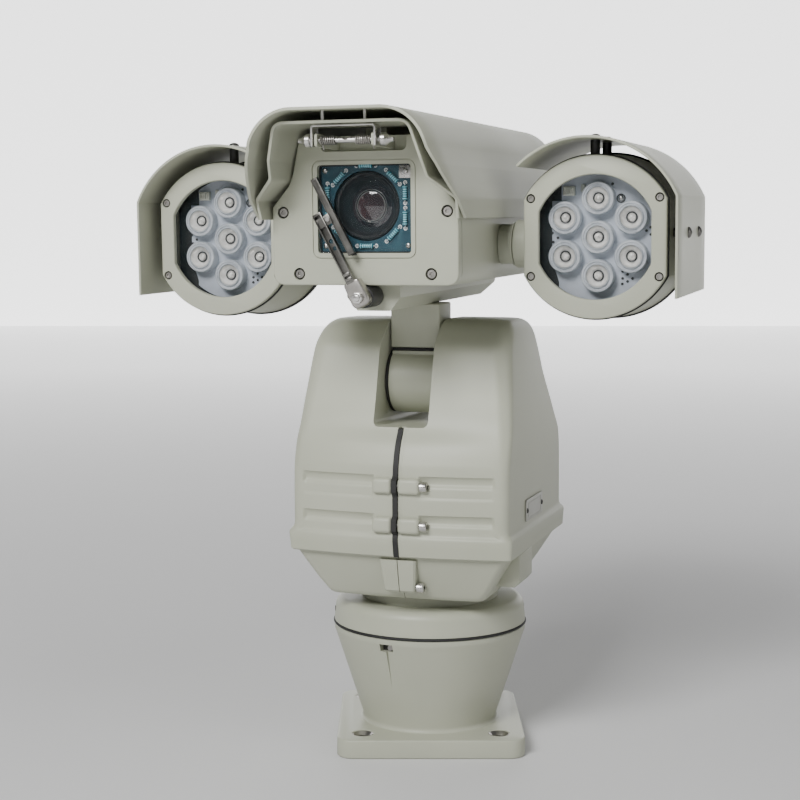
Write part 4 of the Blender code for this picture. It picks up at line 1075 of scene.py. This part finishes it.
# Turned parts of one lamp unit, facing -Y at the origin: outline, facets and finish
UNIT_PARTS = {
    "holders_": ([(13.2, 10.2), (13.2, 1.2), (12.6, 0.4), (11.4, 0.2), (11.0, 0.9), (10.4, 0.9), (10.1, 0.0),
                  (9.3, -0.5), (8.9, 0.2), (8.9, 9.0), (3.0, 9.6), (3.0, 10.2)], 48, holder),
    "bowls_": ([(8.7, 0.5), (8.3, 1.7), (7.4, 3.2), (6.1, 4.6), (4.6, 5.6), (3.0, 6.2), (0, 6.4), (0, 7.4),
                (3.2, 7.2), (8.9, 2.4)], 48, mirror),
    "collars_": ([(3.7, 4.6), (4.5, 4.4), (4.7, 5.4), (4.5, 9.0), (3.7, 9.0)], 32, black),
    "bulbs_": ([(0, 2.6), (1.6, 2.9), (2.9, 3.9), (3.5, 5.2), (3.5, 9.0), (0, 9.0)], 32, die)}
UNIT_SPOTS = [(0, 0)] + arc((0, 0), PITCH, 30, 330, 6)
VIAS = [(-38.5, 3.2), (-34, -0.6), (-37.8, -4.0), (18.8, -27.6), (22.8, -29.9), (18.8, -33.2), (26.8, -33.2),
        (22.8, -35.6), (18.6, -37.6), (10.3, 42.0), (37.6, 4.8), (41.0, 1.8), (41.0, 7.4)]
RING_BACK = LAMP_Y + 5.2
CAN_FRONT = RING_BACK + 2.4
LAMP_BOARD_Y = -57.0


def lamp_can(word, side, x, body):
    """The stub from the housing, the can, its seals and its finned cap."""
    swivel = (0, ARM_Y, ARM_Z)
    stub = soften(rod("X", swivel, ARM_R, (side * 75.3, side * 87.9), 96), 0.8, 3, 50)
    step = [(0, 86.2), (17.8, 86.2), (18.2, 86.8), (18.2, 87.6), (0, 87.6)]
    stub = join(stub, turned(step, "X", swivel, 96, flip=side < 0))
    piece("arm_" + word, stub, "head", paint, "lamp_arm_" + word)

    shell = can(x, [(CAN_FRONT + 0.2, 61.6, 54.2), (CAN_FRONT + 0.3, 63.4, 55.9), (-40, 64.9, 57.4),
                    (-8, 66.4, 59.0), (-1.2, 67.4, 60.0), (-0.2, 67.4, 60.0)])
    hub = soften(rod("X", swivel, 19.8, (side * 88.4, side * 112), 96), 1.4, 3, 50)
    shell = join(shell, hub)
    shell = cut(shell, can(x, [(CAN_FRONT - 5, 60.4, 52.9), (-12, 60.4, 52.9)]))
    piece("can_" + word, shell, body, paint, "lamp_body_" + word, angle=30)

    seal = can(x, [(RING_BACK + 0.2, 65.2, 57.7), (RING_BACK + 0.7, 65.7, 58.2),
                   (CAN_FRONT - 0.3, 65.7, 58.2), (CAN_FRONT + 0.1, 65.2, 57.7)])
    seal = cut(seal, can(x, [(-95, OPEN_R + 0.4, OPEN_FLAT + 0.4), (-50, OPEN_R, OPEN_FLAT)]))
    rim = can(x, [(0, 68.6, 61.0), (0.5, 69.0, 61.4), (2.5, 69.0, 61.4), (3.0, 68.6, 61.0)])
    piece("seals_" + word, fused([seal, rim]), body, rubber, "lamp_gasket_" + word)

    cap = can(x, [(3.2, 68.0, 60.4), (3.9, 68.6, 61.0), (6.0, 68.6, 61.0), (9.5, 65.0, 57.4),
                  (11.5, 63.0, 55.4)])
    fins = []
    for k in range(-5, 6):
        tall = 52 * math.cos(k * 0.21)
        fin_x = x + k * 9.0
        fin = block((fin_x - 1.3, fin_x + 1.3), (9, 22), (LAMP_Z - tall, LAMP_Z + tall))
        fins.append(soften(fin, 0.6, 2))
    piece("cap_" + word, join(cap, *fins), body, paint, "lamp_cap_" + word, angle=30)


def lamp_ring(word, side, x, body):
    """The front ring with its four sunk screws, and the pane behind it."""
    ring = can(x, [(LAMP_Y + 1.2, LAMP_R, LAMP_FLAT), (RING_BACK, LAMP_R, LAMP_FLAT)], 56)
    face = can(x, [(LAMP_Y + out, LAMP_R - inset, LAMP_FLAT - inset)
                   for out, inset in ((0, 1.3), (0.35, 0.55), (1.3, 0))], 56)
    ring = join(ring, face)
    ring = cut(ring, can(x, [(LAMP_Y - 0.2, OPEN_R + 0.8, OPEN_FLAT + 0.8), (LAMP_Y + 0.6, OPEN_R, OPEN_FLAT),
                             (-60, OPEN_R, OPEN_FLAT)], 48))
    screws = [(x + sx * 51.3, LAMP_Z + sz * 30.9) for sx in (-1, 1) for sz in (-1, 1)]
    ring = cut(ring, *[rod("Y", (sx, 0, sz), 3.7, (-95, LAMP_Y + 2.6), 32) for sx, sz in screws])
    piece("ring_" + word, ring, body, paint, "lamp_ring_" + word, angle=30)
    spots = [((sx, LAMP_Y + 2.5, sz), (0, -1, 0)) for sx, sz in screws]
    copied("ring_screws_" + word, socket_screw(2.7, 1.9, 1.6), spots, body, brushed, 20 + side)
    # A near-black ring on each counterbore's floor round the head: painted contact shadow
    shade_ring = [(2.7, 2.3), (3.65, 2.3), (3.65, 2.58), (2.7, 2.58)]
    shade_rings = [turned(shade_ring, "Y", (sx, LAMP_Y, sz), 32) for sx, sz in screws]
    piece("ring_wells_" + word, fused(shade_rings), body, dark_and_painted_shade)
    clear = can(x, [(CAN_FRONT + 0.3, 59.8, 52.3), (CAN_FRONT + 2.6, 59.8, 52.3)])
    piece("pane_" + word, clear, body, glass, "lamp_glass_" + word)


def lamp_units(word, side, x, body):
    """The board with its seven reflectors, its plug and its small marks."""
    outline = [(px, pz) for px, pz in flat_sided(x, 52.0, 47.0) if px - x >= -40.5]
    notch = slab([(x - 60, LAMP_Z - 21), (x - 38, LAMP_Z - 21), (x - 33, LAMP_Z - 36), (x - 33, LAMP_Z - 60),
                  (x - 60, LAMP_Z - 60)], (-70, -50))
    corner = block((x - 60, x - 31), (-70, -50), (LAMP_Z + 29, LAMP_Z + 60))
    panel = cut(slab(outline, (LAMP_BOARD_Y, LAMP_BOARD_Y + 1.6)), notch, corner)
    stand = rod("Y", (x, 0, LAMP_Z), 30, (-55.2, -12.3), 48)
    piece("board_" + word, fused([panel, stand]), body, lamp_board, "led_array_" + word)
    # A near-black disc behind the board fills the can: painted shade inside the lamp
    shade_disc = can(x, [(-52.5, 59.5, 52.3), (-52.0, 59.5, 52.3)])
    piece("well_" + word, shade_disc, body, dark_and_painted_shade)

    spots = [((x + dx, -67.0, LAMP_Z + dz), (0, -1, 0)) for dx, dz in UNIT_SPOTS]
    for prefix, (profile, facets, skin) in UNIT_PARTS.items():
        part = turned(profile, "Y", steps=facets)
        part.data.transform(Matrix.Rotation(-math.pi / 2, 4, "X"))
        copied(prefix + word, part, spots, body, skin, 30 + side, angle=40)

    bolt_x, bolt_z = x + 17.2, LAMP_Z + 30.5
    raised = (LAMP_BOARD_Y - 0.35, LAMP_BOARD_Y + 0.1)
    dots = [rod("Y", (x + dx, 0, LAMP_Z + dz), 1.15, raised, 16) for dx, dz in VIAS]
    washer = [(2.6, -57.5), (3.7, -57.5), (3.7, -56.9), (2.6, -56.9)]
    dots.append(turned(washer, "Y", (bolt_x, 0, bolt_z), 32))
    piece("vias_" + word, fused(dots), body, dark_and_painted_shade)
    plug = soften(block((x - 29, x - 19.5), (-61.5, -57.1), (LAMP_Z + 33.0, LAMP_Z + 40.5)), 0.5, 2)
    small = soften(block((x - 15, x - 11.5), (-58.6, -57.1), (LAMP_Z + 36, LAMP_Z + 42)), 0.4, 2)
    pins = []
    for k in range(4):
        pin_x = x - 28 + 2.2 * k
        pins.append(soften(block((pin_x, pin_x + 1), (-62.4, -61.2), (LAMP_Z + 34.4, LAMP_Z + 39.2)), 0.2, 1))
    piece("plug_" + word, fused([plug, small] + pins), body, pad)
    spots = [((bolt_x, LAMP_BOARD_Y, bolt_z), (0, -1, 0))]
    copied("bolt_" + word, dome_screw(2.4, 1.6), spots, body, steel, 9)


def lamp_hood(word, side, x, body):
    """A bent sheet over the can and down its outer side, on four spacers."""
    radius, shift, wall = 79.0, 3.6, 68.7
    kink = math.degrees(math.acos((wall + shift) / radius))
    path = arc((LAMP_X - shift, LAMP_Z), radius, kink, 134, 40)
    start = [(LAMP_X + wall, LAMP_Z - 47), (*path[0], 3.0), path[1]]
    shade = sheet(softened_path(start, 3.0, 4)[:-1] + path[1:], (-101, 62), 2.0, 6)
    if side < 0:
        shade.data.transform(Matrix.Diagonal((-1, 1, 1, 1)))
        shade.data.flip_normals()
    piece("hood_" + word, soften(shade, 0.35, 2, 50), body, paint, "lamp_hood_" + word, angle=30)

    # the spacers: station along Y, distance of the can's wall from the lamp's axis
    top_x, flank_z = side * (LAMP_X - shift), LAMP_Z + 3
    tops, flanks = [(-58, 64.7), (-7, 66.7)], [(-42, 57.4), (19, 48.0)]
    posts = [rod("Z", (top_x, y, 0), 3.9, (LAMP_Z + near, LAMP_Z + radius - 1.9), 32) for y, near in tops]
    posts += [rod("X", (0, y, flank_z), 3.9, (side * (LAMP_X + near), side * (LAMP_X + wall - 1.9)), 32)
              for y, near in flanks]
    piece("hood_posts_" + word, fused(posts), body, black)
    spots = [((top_x, y, LAMP_Z + radius - 0.1), (0, 0, 1)) for y, _ in tops]
    spots += [((side * (LAMP_X + wall - 0.1), y, flank_z), (side, 0, 0)) for y, _ in flanks]
    copied("hood_screws_" + word, dome_screw(4.6, 3.0), spots, body, gunmetal, 15)


for word, side in (("left", -1), ("right", 1)):
    for part in (lamp_can, lamp_ring, lamp_units, lamp_hood):
        part(word, side, side * LAMP_X, "lamp_" + word)
report("lamps")

# %% [markdown]
# ## Floor, light and camera
# A pale floor that glows more further from the object (painted light), a soft key from the upper left, a wide fill
# and a bright surround.

# %%
bm = bmesh.new()
bmesh.ops.create_grid(bm, x_segments=1, y_segments=1, size=12.0)
floor = shape(bm)
floor.name = "studio_floor"
floor.location.z = -0.0002
# Painted light: the floor glows, not at all near the object and fully some metres away, so it fades into a white
# surround
floor_skin = toned("studio_floor_finish", (0.68, 0.68, 0.68), (0.72, 0.72, 0.72), (0.6, 0.8), 0.7,
                   Emission_Strength=1.0)
tenth = floor_skin.place((0.1, 0.1, 0.1))
floor_glow_by_distance = floor_skin.node("ShaderNodeVectorMath", {"operation": "LENGTH"}, {0: tenth}, output=1)
floor_skin.feed("Emission Color", floor_skin.ramp(floor_glow_by_distance, (0.0, 0.0, 0.0), (1.1, 1.1, 1.1), 0.04, 0.5))
floor.data.materials.append(floor_skin.material)
floor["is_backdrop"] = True

bm = bmesh.new()
bmesh.ops.create_grid(bm, x_segments=1, y_segments=1, size=6.0,
                      matrix=Matrix.Translation((0, 9, 2.4)) @ Matrix.Rotation(math.pi / 2, 4, "X")
                      @ Matrix.Diagonal((1, 0.42, 1, 1)))
backdrop = shape(bm)
backdrop.name = "studio_backdrop"
glow = Skin("studio_backdrop_finish", Roughness=0.9, Emission_Strength=2.0)
tone = glow.ramp(glow.noise(0.2), (0.97, 0.97, 0.97), (1.0, 1.0, 1.0))
glow.feed("Base Color", tone).feed("Emission Color", tone)
backdrop.data.materials.append(glow.material)
backdrop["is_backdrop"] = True

world = bpy.data.worlds.new("studio")
world.use_nodes = True
world.node_tree.nodes["Background"].inputs["Color"].default_value = (1.0, 1.0, 1.0, 1.0)
world.node_tree.nodes["Background"].inputs["Strength"].default_value = 0.12
bpy.context.scene.world = world


def soft_light(name, place, aim_at, size, power):
    data = bpy.data.lights.new(name, "AREA")
    data.shape = "RECTANGLE"
    data.size, data.size_y = size
    data.energy = power
    lamp_obj = bpy.data.objects.new(name, data)
    lamp_obj.location = place
    lamp_obj.rotation_mode = "QUATERNION"
    lamp_obj.rotation_quaternion = (Vector(aim_at) - Vector(place)).to_track_quat("-Z", "Y")
    WORK.objects.link(lamp_obj)
    lamp_obj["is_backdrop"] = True


soft_light("key", (-1.2, -2.2, 2.0), (0, 0, 0.33), (1.2, 1.0), 100)
soft_light("fill", (1.9, -1.2, 1.1), (0, 0, 0.33), (1.2, 1.2), 11)
soft_light("top", (0, 0.6, 2.1), (0, 0, 0.3), (1.4, 1.4), 2)

camera_data = bpy.data.cameras.new("view")
camera_data.sensor_width = 36.0
camera_data.lens = 70.91
camera_data.clip_start, camera_data.clip_end = 0.05, 60.0
camera = bpy.data.objects.new("view", camera_data)
camera.location = (-0.0265, -1.3776, 0.4176)
camera.rotation_mode = "XYZ"
camera.rotation_euler = (math.radians(90 - 4.998), 0, 0)
WORK.objects.link(camera)
bpy.context.scene.camera = camera

size_at_end = [list(corner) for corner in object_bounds()]
for word, corners in (("finished", size_at_end), ("cad", size_at_start)):
    print(word, "size", [round(high - low, 4) for low, high in zip(*corners)])
